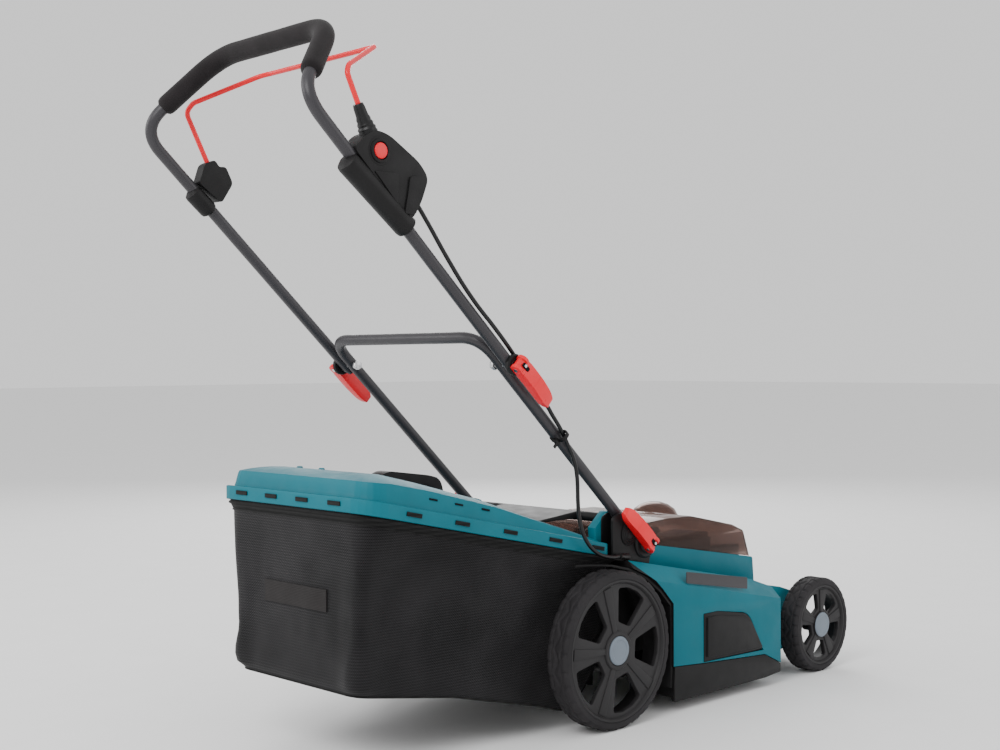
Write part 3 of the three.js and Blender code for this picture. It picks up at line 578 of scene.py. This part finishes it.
def add_studio():
    world = bpy.data.worlds.new("studio")
    world.use_nodes = True
    world.node_tree.nodes["Background"].inputs["Color"].default_value = (1, 1, 1, 1)
    world.node_tree.nodes["Background"].inputs["Strength"].default_value = 1.0
    bpy.context.scene.world = world
    mesh = bpy.data.meshes.new("floor")
    reach = 30
    corners = [(-reach, -reach, 0), (reach, -reach, 0), (reach, reach, 0), (-reach, reach, 0)]
    mesh.from_pydata(corners, [], [(0, 1, 2, 3)])
    mesh.materials.append(moulded("floor_look", (0.86, 0.86, 0.86), 0.9, grain=40, drift=0.01))
    floor = bpy.data.objects.new("floor", mesh)
    bpy.context.scene.collection.objects.link(floor)
    add_light("key", (-1.0, 3.0, 2.8), (0, 0, 0.4), 2.2, 90)
    add_light("fill", (-3.0, -1.8, 1.6), (0, -0.2, 0.3), 2.4, 25)
    add_light("front", (2.6, -2.4, 2.2), (0, 0, 0.4), 2.4, 60)
    add_light("back", (2.2, 2.8, 1.8), (0, 0.2, 0.4), 2.0, 40)


# ---- wheels ----
TREAD_BLOCKS = 30
TREAD_BENDS = 40


def tread(turn, across):
    """How deep the tread is cut at a place; across runs from -1 to 1 over the tyre's face."""
    blocks = (turn / tau * TREAD_BLOCKS + (0.5 if across > 0 else 0)) % 1
    zigzag = abs((turn / tau * TREAD_BENDS) % 2 - 1) - 0.5
    if abs(across) > 0.56:
        return 1.9 if blocks < 0.14 else 0.0
    if abs(across) > 0.47:
        return 1.7
    inside = abs(across - zigzag * 0.5)
    return 1.8 if inside < 0.1 or (abs(across) > 0.34 and blocks < 0.3) else 0.3


def tyre_shape(radius, width):
    steps, lanes = 240, 24
    inner = radius - 13.2
    wall = [(inner, 1.5), (inner + 1, 0), (radius - 5.5, 0), (radius - 4.6, 0.7)]
    points, faces = [], []
    for k in range(steps):
        turn = tau * k / steps
        ring = list(wall)
        for lane in range(lanes + 1):
            across = 2 * lane / lanes - 1
            shoulder = 2.6 * max(0, abs(across) - 0.82) / 0.18
            ring.append((radius - tread(turn, across) - shoulder, 1.5 + (width - 3) * lane / lanes))
        ring += [(r, width - z) for r, z in reversed(wall)]
        points += [Vector((*polar(r, turn), z)) for r, z in ring]
    size = len(points) // steps
    for k in range(steps):
        after = (k + 1) % steps
        for j in range(size):
            a, b = k * size + j, k * size + (j + 1) % size
            faces.append((a, b, after * size + (j + 1) % size, after * size + j))
    return points, faces


def rim_shape(radius, width, phase):
    """The web with its windows, the wedges on the spokes, the outer ring and the hub."""
    outer, hub = radius - 14, 0.2 * radius + 6
    low, high = 0.36 * radius, radius - 25
    face = width - 5
    # A window's corners: distance from the axle, turn from its middle, and corner radius.
    window = [
        (low, -0.33, 4), (high - 2, -0.35, 6), (high, -0.12, 3),
        (high, 0.12, 3), (high - 2, 0.35, 6), (low, 0.33, 4),
    ]
    windows, wedges = [], []
    for i in range(SPOKES):
        middle = phase + tau * i / SPOKES
        corners = [
            polar(reach, middle + turn) + [soft * radius / WHEELS["rear_wheel"]["radius"]]
            for reach, turn, soft in window
        ]
        windows.append(rounded(corners, 4))
        spoke = middle + pi / SPOKES
        along, out = Vector((cos(spoke), sin(spoke))), Vector((-sin(spoke), cos(spoke)))
        near, far = along * (hub - 4), along * (high + 3)
        wedge = [near - out * 4.5, far - out * 9, far + out * 9, near + out * 4.5]
        wedges.append(shifted(plate([wedge], 2.4, 1.1), 0, 0, face - 0.6))
    web = shifted(plate([circle(outer, 96)] + windows, 9, 1.3), 0, 0, face - 9)
    lip = [
        [outer + 1.4, 1], [outer + 1.4, width - 1.5], [outer, width - 0.6], [outer - 3, width - 0.8],
        [outer - 6, face + 0.6], [outer - 6.5, face - 4], [outer - 4, face - 12], [outer - 4, 1],
    ]
    boss = [
        [6.6, 2], [hub - 9, 2], [hub - 9, face - 8], [hub, face - 8], [hub, face + 1.6],
        [hub - 1.6, face + 3], [24, face + 3], [23.4, face + 1.2], [6.6, face + 1.2],
    ]
    return merged(web, lathe(lip, 96), lathe(boss, 64), *wedges)


def cap_shape(width):
    rim = 22.8
    profile = [
        [0, width - 4], [rim, width - 4], [rim, width - 1.6], [rim - 0.9, width - 0.5],
        [rim - 3, width + 0.1], [rim - 6, width + 0.2], [rim - 6.6, width - 0.3],
        [rim - 14, width + 0.1], [0, width + 0.3],
    ]
    return disc(profile, 64)


def add_wheels():
    for kind, wheel in WHEELS.items():
        for side_name, side in SIDES.items():
            body = f"{kind}_{side_name}"
            inner = wheel["outer"] - wheel["width"]
            # Local x runs to the front, y up and z outwards on the right side.
            place = basis((0, -1, 0), (0, 0, 1), (-1, 0, 0), (-inner, wheel["y"], wheel["radius"]))
            parts = [
                ("tyre", tyre_shape(wheel["radius"], wheel["width"]), TYRE, "tyre"),
                ("rim", rim_shape(wheel["radius"], wheel["width"], wheel["window"]), WHEEL, "wheel_plastic"),
                ("hub_cap", cap_shape(wheel["width"]), CAP, "cap_grey"),
            ]
            for part, shape, look, fork_slot_shade in parts:
                node = f"{body}_{part}"
                add(node + "_look", on_side(moved(shape, place), side), look, body, [node])


# ---- handle ----
def both_ways(half):
    """A path over both sides from its left half, which ends near the middle."""
    return half + [(-x, y, z) for x, y, z in reversed(half)]


HANDLE_FOOT = (197.5, UPPER_PIVOT.y - 13, UPPER_PIVOT.z - 12.2)
HANDLE_BEND = (203, 584.4, 932)
HANDLE_TOP = (135, 488, 1044)
GRIP_END = (184.5, 558.3, 962.5)


def add_tubes():
    end = (LOWER_TUBE_X, LOWER_PIVOT.y - 9, LOWER_PIVOT.z - 8.4)
    lower = even(bent(both_ways([end, (LOWER_TUBE_X, 246, 617)]), 42), 12)
    add("lower_tube_look", sweep(lower, blunt(len(lower), TUBE_RADIUS, 1), 28), GRAPHITE, "lower_handle",
        ["lower_handle_tube"])
    upper = even(bent(both_ways([HANDLE_FOOT, HANDLE_BEND, HANDLE_TOP]), 45), 12)
    add("upper_tube_look", sweep(upper, blunt(len(upper), TUBE_RADIUS, 1), 28), GRAPHITE, "upper_handle",
        ["upper_handle_tube"])
    grip = even(bent(both_ways([GRIP_END, HANDLE_TOP]), 45), 4)
    radii = blunt(len(grip), 15.0, 3)
    swell = [r + 0.35 * noise.noise(p / 40) for r, p in zip(radii, grip)]
    piece = add("foam_grip_look", sweep(grip, swell, 32), FOAM, "upper_handle", ["foam_grip"])


def add_bail():
    half = [
        (198, BAIL_PIVOT.y, BAIL_PIVOT.z), (200, 508, 966), (192, 500, 980),
        (140, 412, 1026), (120, 405, 1028),
    ]
    path = even(bent(both_ways(half), 14, 8), 8)
    add("bail_wire_look", sweep(path, 3.9, 16), RED_PAINT, "bail", ["bail_wire"])
    place = standing((0, 46, 94), (-198.6, BAIL_PIVOT.y, BAIL_PIVOT.z))
    profile = [
        [4.1, 20], [13, 20], [13.6, 22], [12.4, 25], [13, 28], [11, 31], [11.6, 34], [9.8, 38], [10.2, 41],
        [8.6, 46], [8.2, 56], [7.4, 61], [6.6, 62.5], [4.1, 62.5],
    ]
    add("bail_boot_look", moved(lathe(profile, 32), place), RUBBER, "bail", ["bail_boot"])


def sleeve(x, start, end, radius):
    """A round sleeve over a tube, with rounded ends."""
    path = even([Vector((x, *start)), Vector((x * 1.003, *end))], 4)
    return sweep(path, blunt(len(path), radius, 2), 32)


def add_switch_box():
    outline = rounded(
        [
            [508, 866, 10], [478, 893, 16], [452, 892, 16], [392, 856, 14],
            [377, 836, 10], [391, 800, 14], [408, 776, 10], [440, 800, 4],
        ],
        7,
    )
    body = moved(plate([outline], 33, 5.0, 5), ACROSS_X @ Matrix.Translation((0, 0, -214)))
    collar = [
        [12.2, -4], [21, -4], [20.6, 0.4], [18.6, 1.4], [17, 1.4],
        [16.6, 3], [15.4, 3.8], [13.2, 3.8], [12.2, 2.4],
    ]
    ring = moved(lathe(collar, 48), Matrix.Translation(BUTTON + Vector((2.5, 0, 0))) @ OUT_RIGHT)
    cheek = rounded(
        [[412, 836, 5], [392, 838, 6], [384, 826, 6], [403, 784, 5], [422, 784, 4], [416, 812, 8]], 5
    )
    raised = moved(plate([cheek], 3.2, 1.4, 3), ACROSS_X @ Matrix.Translation((0, 0, -216.6)))
    wedge = rounded([[474, 838, 3], [432, 838, 5], [434, 796, 5]], 5)
    second = moved(plate([wedge], 2.6, 1.2, 3), ACROSS_X @ Matrix.Translation((0, 0, -215.9)))
    tube_x = -200.5
    run = sleeve(tube_x, (403, 764), (514, 851.5), 16.5)
    bands = [((405, 765.6), (412, 772)), ((503, 842.8), (510, 848.3))]
    collars = [sleeve(tube_x, start, end, 17.4) for start, end in bands]
    box = merged(body, ring, raised, second, run, *collars)
    add("switch_box_look", box, BLACK, "upper_handle", ["switch_box"])
    dome = [[0, -2], [10.9, -2], [11.1, 1.4], [10.4, 2.5], [8, 3.1], [4, 3.3], [0, 3.35]]
    button = moved(disc(dome, 48), Matrix.Translation(BUTTON + Vector((1.2, 0, 0))) @ OUT_RIGHT)
    add("safety_button_look", button, RED, "safety_button", ["safety_button"])


def add_bail_clamp():
    run = sleeve(201, (464, 815.5), (500, 846.5), 14.0)
    outline = rounded(
        [
            [492, 858, 4], [482, 888, 6], [464, 896, 5], [456, 886, 3],
            [444, 887, 5], [431, 862, 7], [452, 830, 6],
        ],
        6,
    )
    tab = moved(plate([outline], 19, 3.2, 4), ACROSS_X @ Matrix.Translation((0, 0, 188.5)))
    knob = disc([[0, 0], [5.5, 0], [5.5, 5], [4, 7], [0, 7.4]], 24)
    knob = moved(knob, Matrix.Translation((206, 466, 878)) @ ACROSS_X)
    add("bail_clamp_look", merged(run, tab, knob), BLACK, "upper_handle", ["bail_clamp"])


def add_cam_levers():
    """Each lever is a curved paddle with a forked head, its barrel nut and a seat behind it."""
    outline = rounded(
        [
            [-7.8, 4, 3], [-7.8, -4, 4], [-3, -7.6, 3], [30, -6.3, 10], [78, -6.5, 6],
            [90, -4.4, 4], [86.5, 2.8, 4], [60, 8.6, 22], [30, 10.6, 20], [8, 9.4, 8],
        ],
        6,
    )
    paddle = shifted(plate([filled_ring(outline, 3)], 23, 3.0, 4), 0, 0, -11.5)
    for p in paddle[0]:
        p.z *= max(0.1, 1 - (max(0, p.x - 66) / 26) ** 2) ** 0.5
    lobes = [shifted(plate([circle(9.6, 40)], 5.2, 1.2), 0, 0, z) for z in (-11.9, 6.7)]
    paddle = merged(paddle, *lobes)
    # A dark block in the forked head is painted shade: it stands for the shadow inside the fork's slot.
    slot_place = basis((1, 0, 0), (0, 0, 1), (0, -1, 0)) @ Matrix.Diagonal((1, 1, -1, 1))
    fork_slot_shade = moved(block(-2, 13, -3.4, 3.4, 8.2, 10.4, 1.0), slot_place)
    nut = disc([[0, -12.6], [3.3, -12.6], [3.5, 12.6], [0, 12.9]], 24)
    screw = disc([[0, 8.6], [2.6, 8.6], [2.6, 11.4], [2.0, 12], [0, 12.2]], 20)
    nut = merged(nut, moved(screw, basis((1, 0, 0), (0, 0, -1), (0, 1, 0), (3, 0, 0))))
    seat_profile = [
        [0, -5.4], [15.5, -5.4], [16.2, -4.4], [16.2, 0.6], [13.6, 2.4],
        [13, 1.6], [9.4, 1.6], [9, 3], [0, 3],
    ]
    joints = [("lower", LOWER_PIVOT, 197, 1, "deck"), ("upper", UPPER_PIVOT, 210.6, -1, "lower_handle")]
    for name, pivot, inner, direction, seat_body in joints:
        along = direction * RUN
        out = Vector((-1, 0, 0))
        place = basis(along, out, along.cross(out), (-inner - 8, pivot.y, pivot.z))
        seat_place = Matrix.Translation((-inner + 0.6, pivot.y, pivot.z)) @ OUT_RIGHT
        seat = moved(disc(seat_profile, 48), seat_place)
        for side_name, side in SIDES.items():
            lever = f"{name}_cam_lever_{side_name}"
            add(lever + "_look", on_side(moved(paddle, place), side), RED, lever, [lever])
            add(lever + "_slot_painted_shade", on_side(moved(fork_slot_shade, place), side), PAINTED_SHADE, lever)
            add(lever + "_nut", on_side(moved(nut, place), side), STEEL, lever)
            add(lever + "_seat", on_side(seat, side), BLACK, seat_body)


# ---- cable ----
CABLE_UPPER = [
    (-203, 388, 799), (-205, 367, 770), (-207, 350, 745), (-208, 332, 721), (-209, 314, 698),
    (-209, 295, 677), (-209, 275, 657), (-208, 254, 639), (-206, 233, 621), (-203, 211, 602),
    (-199, 180, 573), (-197, 152, 545), (-195, 123, 515), (-193.5, 108, 498), (-193, 94, 482),
    (-193, 83, 467), (-193.5, 72, 448),
]
CABLE_TAIL = [
    (-193.5, 72, 448), (-194, 64, 434), (-196, 59, 417), (-198, 57, 395), (-200, 58, 364), (-201, 57, 341),
    (-202, 51, 317), (-203, 40, 297), (-203, 25, 283), (-202, 6, 273), (-199, -22, 267), (-196, -42, 266),
]


UPPER_CABLE_BODIES = ("upper_handle", "lower_handle")
TAIL_BODIES = ("lower_handle", "deck")


def add_cables():
    # Each run gives its name, its route, the parts it stands for, its first and second body and a point of
    # its route between them.
    runs = [
        ("cable_upper_look", CABLE_UPPER, ["cable_upper", "cable_lower"], UPPER_CABLE_BODIES, 3),
        ("cable_tail_look", CABLE_TAIL, ["cable_tail"], TAIL_BODIES, 1),
    ]
    for name, points, stands_for, bodies, first in runs:
        path = smooth_path(points, 5)
        piece = add(name, sweep(path, CABLE_RADIUS, 16), CABLE, None, stands_for)
        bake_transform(piece)


def add_clip():
    """A cable tie round the tube and the cable, with its head."""
    across = RUN.cross(Vector((1, 0, 0))).normalized()
    centre = Vector((-LOWER_TUBE_X - 4, 82, 463))
    band = rounded([[-20, -9, 9], [12, -12, 11], [12, 12, 11], [-20, 9, 9]], 8)
    inner = rounded([[-18, -7.2, 8], [10.2, -10.2, 10], [10.2, 10.2, 10], [-18, 7.2, 8]], 8)
    tie = plate([band, inner], 6.5, 0.8, 2)
    head = shifted(block(-4, 4, 10, 16, -1.5, 8, 1.2), -6, 0, 0)
    tail = shifted(block(-1.2, 1.2, 14, 24, 1, 5.5, 0.5), -8, 0, 0)
    shape = moved(merged(tie, head, tail), basis((1, 0, 0), across, RUN, centre))
    add("cable_clip_look", shape, BLACK, "lower_handle", ["cable_clip"])
    gland = disc(
        [[0, 0], [8.2, 0], [8.4, 3], [6.8, 6], [7, 9], [5.8, 12], [6, 15], [4.8, 19], [4.4, 26], [0, 26]], 32
    )
    place = standing((-10, 29.4, 4), (-186, -72, 262))
    add("cable_gland_look", moved(gland, place), RUBBER, "deck", ["cable_gland"])


# ---- grass catcher ----
def eased(value, low, high):
    """0 below low, 1 above high and a smooth step between them."""
    t = min(1, max(0, (value - low) / (high - low)))
    return t * t * (3 - 2 * t)


def rim_z(y):
    """The height of the lid's rim, which slopes down to the front."""
    return RIM_Z + SLOPE * y


def crest(y):
    """The height of the lid's middle above its rim's lower edge."""
    rise = 15 * eased(y, -40, 70) + 22 * eased(y, 50, 250) + 6 * eased(y, 230, 380)
    return 23 + rise - 7 * eased(y, 385, 458)


def crown(y, inset):
    """The lid's height at a distance inside its edge: a steep wall, then a gentle rise."""
    wall = 0.6 * eased(inset, 9.5, 17)
    return 22.2 + (crest(y) - 22.2) * (wall + 0.4 * (1 - exp(-max(0, inset - 12) / 30)))


def lid_outline(inset):
    half, front, rear = RIM_HALF - inset, LID_FRONT + inset, LID_REAR - inset
    corner = max(6, 52 - 0.6 * inset)
    return rounded([[-half, front, 12], [half, front, 12], [half, rear, corner], [-half, rear, corner]], 7)


def filled_ring(outline, parts):
    """The outline's points again with its straight runs divided, so that every ring has the same count."""
    points = []
    for a, b in zip(outline, outline[1:] + outline[:1]):
        points += [a.lerp(b, k / parts) for k in range(parts)]
    return points


def on_slope(x, y, height):
    """A place on the lid at a height above its rim's lower edge, tilted with the rim."""
    return Matrix.Translation((x, y, rim_z(y) + height)) @ Matrix.Rotation(SLOPE, 4, "X")


def add_lid():
    rings = []
    levels = [(0.8, 0), (0, 0.8), (0, 19.6), (0.5, 20.7), (1.6, 21.2), (9, 21.6), (10.4, 22.2)]
    for inset, height in levels:
        ring = filled_ring(lid_outline(inset), 6)
        rings.append([Vector((p.x, p.y, rim_z(p.y) + height)) for p in ring])
    for inset in (10.8, 11.6, 12.6, 13.8, 15.2, 17, 20, 25, 32, 44, 58, 74, 92, 112, 134, 156):
        ring = filled_ring(lid_outline(inset), 6)
        rings.append([Vector((p.x, p.y, rim_z(p.y) + crown(p.y, inset))) for p in ring])
    size = len(rings[0])
    points = [p for ring in rings for p in ring]
    faces = [
        (r * size + k, r * size + (k + 1) % size, (r + 1) * size + (k + 1) % size, (r + 1) * size + k)
        for r in range(len(rings) - 1)
        for k in range(size)
    ]
    faces.append(tuple(reversed(range(size))))
    faces.append(tuple(range(len(points) - size, len(points))))
    shell = (points, faces)
    lid = add("catcher_lid_look", shell, TEAL, "grass_catcher", ["catcher_lid"], 50)
    cut(lid, shifted(block(-38, 38, 178, 304, 36, 130, 5), 0, 0, rim_z(LID_RECESS_Y)))
    slots, backs = [], []
    for y in (-2, 96, 194, 292, 384):
        for side in (-1, 1):
            place = on_slope(side * RIM_HALF, y, 11.4)
            slots.append(moved(bar(6, 14, 2.8, 0.6), place))
            backs.append(moved(bar(1.8, 14.2, 3, 0.4), place))
    for x in (-114, -38, 38, 114):
        place = Matrix.Translation((x, LID_REAR, rim_z(LID_REAR) + 11.4))
        slots.append(moved(bar(14, 6, 2.8, 0.6), place))
        backs.append(moved(bar(14.2, 1.8, 3, 0.4), place))
    cut(lid, merged(*slots))
    add("lid_slot_backs", merged(*backs), HEM, "grass_catcher")
    # The vents are dark bars on the lid's sides: painted shade where the real vent slots lie in shadow.
    vent_shade = bar(1.6, 8, 1.3, 0.5)
    vent_shades = [moved(vent_shade, on_slope(side * 173.8, y, 39)) for side in (-1, 1) for y in (232, 286, 336)]
    add("lid_vent_shades", merged(*vent_shades), PAINTED_SHADE, "grass_catcher")
    nub = disc([[0, -3], [5, -3], [5, 1.4], [3.6, 3], [0, 3.4]], 24)
    nubs = [shifted(nub, x, 372, rim_z(372) + crown(372, 96)) for x in (42, 98)]
    add("lid_nubs", merged(*nubs), TEAL, "grass_catcher")


def add_lid_trim():
    outline = rounded(
        [[-66, -14, 12], [66, -14, 12], [70, 120, 10], [58, 166, 12], [-58, 166, 12], [-70, 120, 10]], 6
    )
    points, faces = plate([outline], 3.0, 1.0)
    bm = bmesh.new()
    ring = [bm.verts.new(p) for p in points]
    for face in faces:
        bm.faces.new([ring[i] for i in face])
    # The panel is divided so that it can follow the lid's crown.
    planes = [((0, y, 0), (0, 1, 0)) for y in range(0, 160, 12)]
    planes += [((x, 0, 0), (1, 0, 0)) for x in range(-60, 61, 12)]
    for spot, way in planes:
        everything = bm.verts[:] + bm.edges[:] + bm.faces[:]
        bmesh.ops.bisect_plane(bm, geom=everything, plane_co=spot, plane_no=way)
    bm.verts.index_update()
    points = []
    for x, y, z in [v.co for v in bm.verts]:
        inset = min(y - LID_FRONT, RIM_HALF - abs(x))
        points.append(Vector((x, y, z + rim_z(y) + crown(y, inset) + 0.2)))
    faces = [tuple(v.index for v in f.verts) for f in bm.faces]
    bm.free()
    add("lid_panel_look", (points, faces), PANEL, "grass_catcher", ["lid_panel"], 40)
    arch = rounded(
        [
            [170, 366, 4], [178, 394, 12], [198, 401, 14], [288, 413, 12], [308, 402, 8], [309, 388, 5],
            [300, 386, 5], [290, 396, 8], [202, 386, 8], [190, 374, 6], [186, 362, 3],
        ],
        6,
    )
    grip = moved(plate([arch], 27, 5.0, 5), ACROSS_X @ Matrix.Translation((0, 0, -13.5)))
    liner = shifted(block(-38.4, 38.4, 177.6, 304.4, 35, 37.4, 1.0), 0, 0, rim_z(LID_RECESS_Y))
    handle = merged(grip, liner)
    add("catcher_handle_look", handle, BLACK, "grass_catcher", ["catcher_handle"])


FLOOR_LINE = [(BAG_FRONT, 96), (20, 44), (63, 29), (108, 44), (282, 86), (BAG_REAR, 113)]


def floor_z(y):
    """The height of the bag's lower edge."""
    for (y0, z0), (y1, z1) in zip(FLOOR_LINE, FLOOR_LINE[1:]):
        if y <= y1:
            return z0 + (z1 - z0) * (y - y0) / (y1 - y0)
    return FLOOR_LINE[-1][1]


def bag_ring(share):
    """One ring round the bag's sides and back, open at the mouth; share runs from the lid down."""
    pull = 4 * eased(share, 0, 0.05) + 9 * eased(share, 0.03, 0.28) + 5 * eased(share, 0.95, 1)
    half = RIM_HALF - 4 - pull
    half_rear = half - 24 * share
    rear = BAG_REAR - 4 * eased(share, 0, 0.05) - 6 * eased(share, 0.95, 1)
    corner = 50 - 26 * eased(share, 0, 0.3)
    outline = [[-half, BAG_FRONT], [-half, 170], [-half_rear, rear, corner], [half_rear, rear, corner]]
    outline = rounded(outline + [[half, 170], [half, BAG_FRONT]], 14)
    path = []
    for (a, b), parts in zip(zip(outline, outline[1:]), [24, 24] + [1] * 14 + [36] + [1] * 14 + [24, 24]):
        path += [a.lerp(b, k / parts) for k in range(parts)]
    path.append(outline[-1])
    hollow = sin(pi * min(1, max(0, (share - 0.08) / 0.92)))
    flare = eased(share, 0.72, 0.9) * (1 - eased(share, 0.93, 1))
    ring = []
    for k, p in enumerate(path):
        way = (path[min(k + 1, len(path) - 1)] - path[max(k - 1, 0)]).normalized()
        puffed = eased(p.y, 400, 450) * eased(abs(p.x), 96, 150)
        front = 1 - eased(p.y, BAG_FRONT, 40)
        inset = hollow * (7 - 5 * puffed) - 9 * flare * puffed + 13 * front * eased(share, 0, 0.1)
        wrinkle = 2.6 * noise.noise(Vector((p.x / 60, p.y / 60, share * 4)))
        wrinkle += noise.noise(Vector((p.x / 22, p.y / 22, share * 7)))
        q = p + Vector((way.y, -way.x)) * (inset + wrinkle * hollow)
        top = rim_z(p.y) - 0.6
        ring.append(Vector((q.x, max(q.y, BAG_FRONT), top + (floor_z(p.y) - top) * share)))
    return ring


def add_bag():
    """Rings down the sides and the back, then rings that close the bottom towards its middle."""
    bottom_slope = 0.2147
    shares = [0, 0.01, 0.03, 0.06] + [0.1 + 0.045 * k for k in range(20)] + [0.98, 0.995, 1.0]
    rings = [bag_ring(s) for s in shares]
    bottom = rings[-1]
    for shrink in (0.02, 0.06, 0.14, 0.26, 0.4, 0.55, 0.7, 0.85, 1.0):
        ring = []
        for p in bottom:
            rear = eased(p.y, 330, 452)
            y = p.y - rear * 120 * shrink
            sag = 2.5 * sin(pi * shrink) * (1 - rear)
            z = p.z - bottom_slope * (p.y - y) - sag - 0.8 * eased(shrink, 0, 0.06)
            ring.append(Vector((p.x * (1 - shrink), y, z)))
        rings.append(ring)
    size = len(rings[0])
    points = [p for ring in rings for p in ring]
    faces = [
        (r * size + k, r * size + k + 1, (r + 1) * size + k + 1, (r + 1) * size + k)
        for r in range(len(rings) - 1)
        for k in range(size - 1)
    ]
    shell = (points, faces)
    bag = add("catcher_bag_look", shell, CLOTH, "grass_catcher", ["catcher_bag"], 180)
    bm = bmesh.new()
    bm.from_mesh(bag.data)
    bmesh.ops.remove_doubles(bm, verts=bm.verts[:], dist=0.0008)
    bm.to_mesh(bag.data)
    bm.free()
    skin = bag.modifiers.new("skin", "SOLIDIFY")
    skin.thickness = 0.0014
    skin.offset = -1
    applied(bag)
    bag.data.shade_smooth()
    top, low = bag_ring(0.012), bag_ring(0.052)
    out = [Vector((p.x * 1.006, p.y + (0.8 if p.y > 400 else 0), p.z)) for p in top]
    piping = [sweep(out, 2.2, 10), sweep([p + Vector((p.x * 0.004, 0.4, 0)) for p in low], 1.7, 10)]
    hem_points, hem_faces = [], []
    for p, r in zip(out, low):
        hem_points += [p, Vector((r.x * 1.004, r.y + 0.4, r.z))]
        hem_points += [Vector((r.x * 0.99, r.y - 1, r.z)), Vector((p.x * 0.99, p.y - 1, p.z))]
    for k in range(len(out) - 1):
        for j in range(4):
            a, b = 4 * k + j, 4 * k + (j + 1) % 4
            hem_faces.append((a, b, b + 4, a + 4))
    hem_faces += [(0, 1, 2, 3), tuple(len(hem_points) - 4 + j for j in range(4))]
    edge = sweep(bag_ring(0.995), 1.8, 8)
    add("bag_hem", merged(*piping, (hem_points, hem_faces), edge), HEM, "grass_catcher")


def add_strap():
    """The flat pull strap sewn to the back of the bag."""
    rows, columns, half = 10, 36, 76
    low, height = 224, 32
    rim, floor = rim_z(BAG_REAR), floor_z(BAG_REAR)
    points, faces = [], []
    for lift in (0, 1):
        for j in range(rows + 1):
            for i in range(columns + 1):
                x, z = -half + 2 * half * i / columns, low + height * j / rows
                back = [q for q in bag_ring((rim - z) / (rim - floor)) if q.y > 430]
                behind = min(back, key=lambda q: abs(q.x - x)).y
                bulge = 2.2 * sin(pi * i / columns) * sin(pi * j / rows)
                ripple = 0.6 * noise.noise(Vector((x / 30, 0, 3)))
                points.append(Vector((x, behind + 0.5 + (2.0 + bulge) * lift, z + ripple)))
    layer = (rows + 1) * (columns + 1)
    for j in range(rows):
        for i in range(columns):
            a = j * (columns + 1) + i
            quad = (a, a + 1, a + columns + 2, a + columns + 1)
            faces += [quad, tuple(layer + k for k in reversed(quad))]
    edge = [j * (columns + 1) for j in range(rows)] + [rows * (columns + 1) + i for i in range(columns)]
    edge += [(j + 1) * (columns + 1) - 1 for j in range(rows, 0, -1)] + list(range(columns, 0, -1))
    for a, b in zip(edge, edge[1:] + edge[:1]):
        faces.append((a, b, layer + b, layer + a))
    strap = add("bag_strap_look", (points, faces), STRAP, "grass_catcher", ["bag_strap"])


# ---- deck ----
WELL_HALF = 218
WELL_FRONT = -150
WELL_TOP = 262


def add_deck_details():
    """Looks and edge widths of the CAD nodes that stay, and the small pieces on the deck."""
    looks = {
        "deck_cover": (TEAL, 1.6), "battery_housing": (TEAL, 1.4), "deck_base": (BLACK, 0.9),
        "side_hatch_right": (BLACK, 1.8), "side_hatch_left": (BLACK, 1.8), "battery_tray": (BLACK, 0.8),
        "battery_lid": (SMOKE, 1.4), "battery_pack_right": (PACK, 1.6), "battery_pack_left": (PACK, 1.6),
        "safety_key": (RED, 0.8), "motor_can": (STEEL, 0.6), "motor_rotor": (STEEL, 0.4),
        "cutting_blade": (STEEL, 0.4), "blade_bolt": (STEEL, 0.4), "controller_box": (BLACK, 1.0),
        "height_lever": (BLACK, 0.8), "rear_axle": (STEEL, 0.05), "front_axle": (STEEL, 0.05),
        "handle_bracket_right": (BLACK, 1.2), "handle_bracket_left": (BLACK, 1.2),
        "lower_clamp_bolt_right": (STEEL, 0.5), "lower_clamp_bolt_left": (STEEL, 0.5),
        "upper_clamp_bolt_right": (STEEL, 0.5), "upper_clamp_bolt_left": (STEEL, 0.5),
        "rear_flap": (BLACK, 1.2), "mouth_frame": (BLACK, 1.0),
    }
    for name, (look, width) in looks.items():
        soften(name, look, width)
    # The cover's faces in the well behind the battery bay are black.
    cover = NODES["deck_cover"].data
    cover.materials.append(BLACK)
    for face in cover.polygons:
        x, y, z = face.center * 1000
        if abs(x) < WELL_HALF and y - REAR_AXLE_Y > WELL_FRONT and z < WELL_TOP:
            face.material_index = 1
    label = rounded([[-346, 182, 3], [-346, 202, 3], [-176, 230, 3], [-176, 211, 3]], 4)
    label = moved(plate([label], 1.2, 0.5), ACROSS_X @ Matrix.Translation((0, 0, -229.1)))
    ribs = [
        [0, -2], [19, -2], [19, 1], [17.5, 2.2], [15.5, 1.2], [13.5, 3],
        [11.5, 2], [9.5, 3.8], [7.5, 2.8], [4, 4.4], [0, 4.6],
    ]
    ribbed = moved(disc(ribs, 48), Matrix.Translation((-193.4, -72, 299)) @ OUT_RIGHT)
    profile = [[0, -3], [25, -3], [26, -1], [26, 2], [23, 4.4], [21, 3.6], [0, 3.2]]
    place = Matrix.Translation((-192.6, LOWER_PIVOT.y + 2, LOWER_PIVOT.z + 2)) @ OUT_RIGHT
    knuckle = moved(disc(profile, 48), place)
    for side_name, side in SIDES.items():
        add(f"label_plate_{side_name}", on_side(label, side), GRAPHITE, "deck")
        add(f"bracket_disc_{side_name}", on_side(ribbed, side), BLACK, "deck")
        add(f"bracket_knuckle_{side_name}", on_side(knuckle, side), BLACK, "deck")


add_camera()
add_studio()
add_cables()
add_wheels()
add_tubes()
add_bail()
add_switch_box()
add_bail_clamp()
add_cam_levers()
add_clip()
add_lid()
add_lid_trim()
add_bag()
add_strap()
add_deck_details()
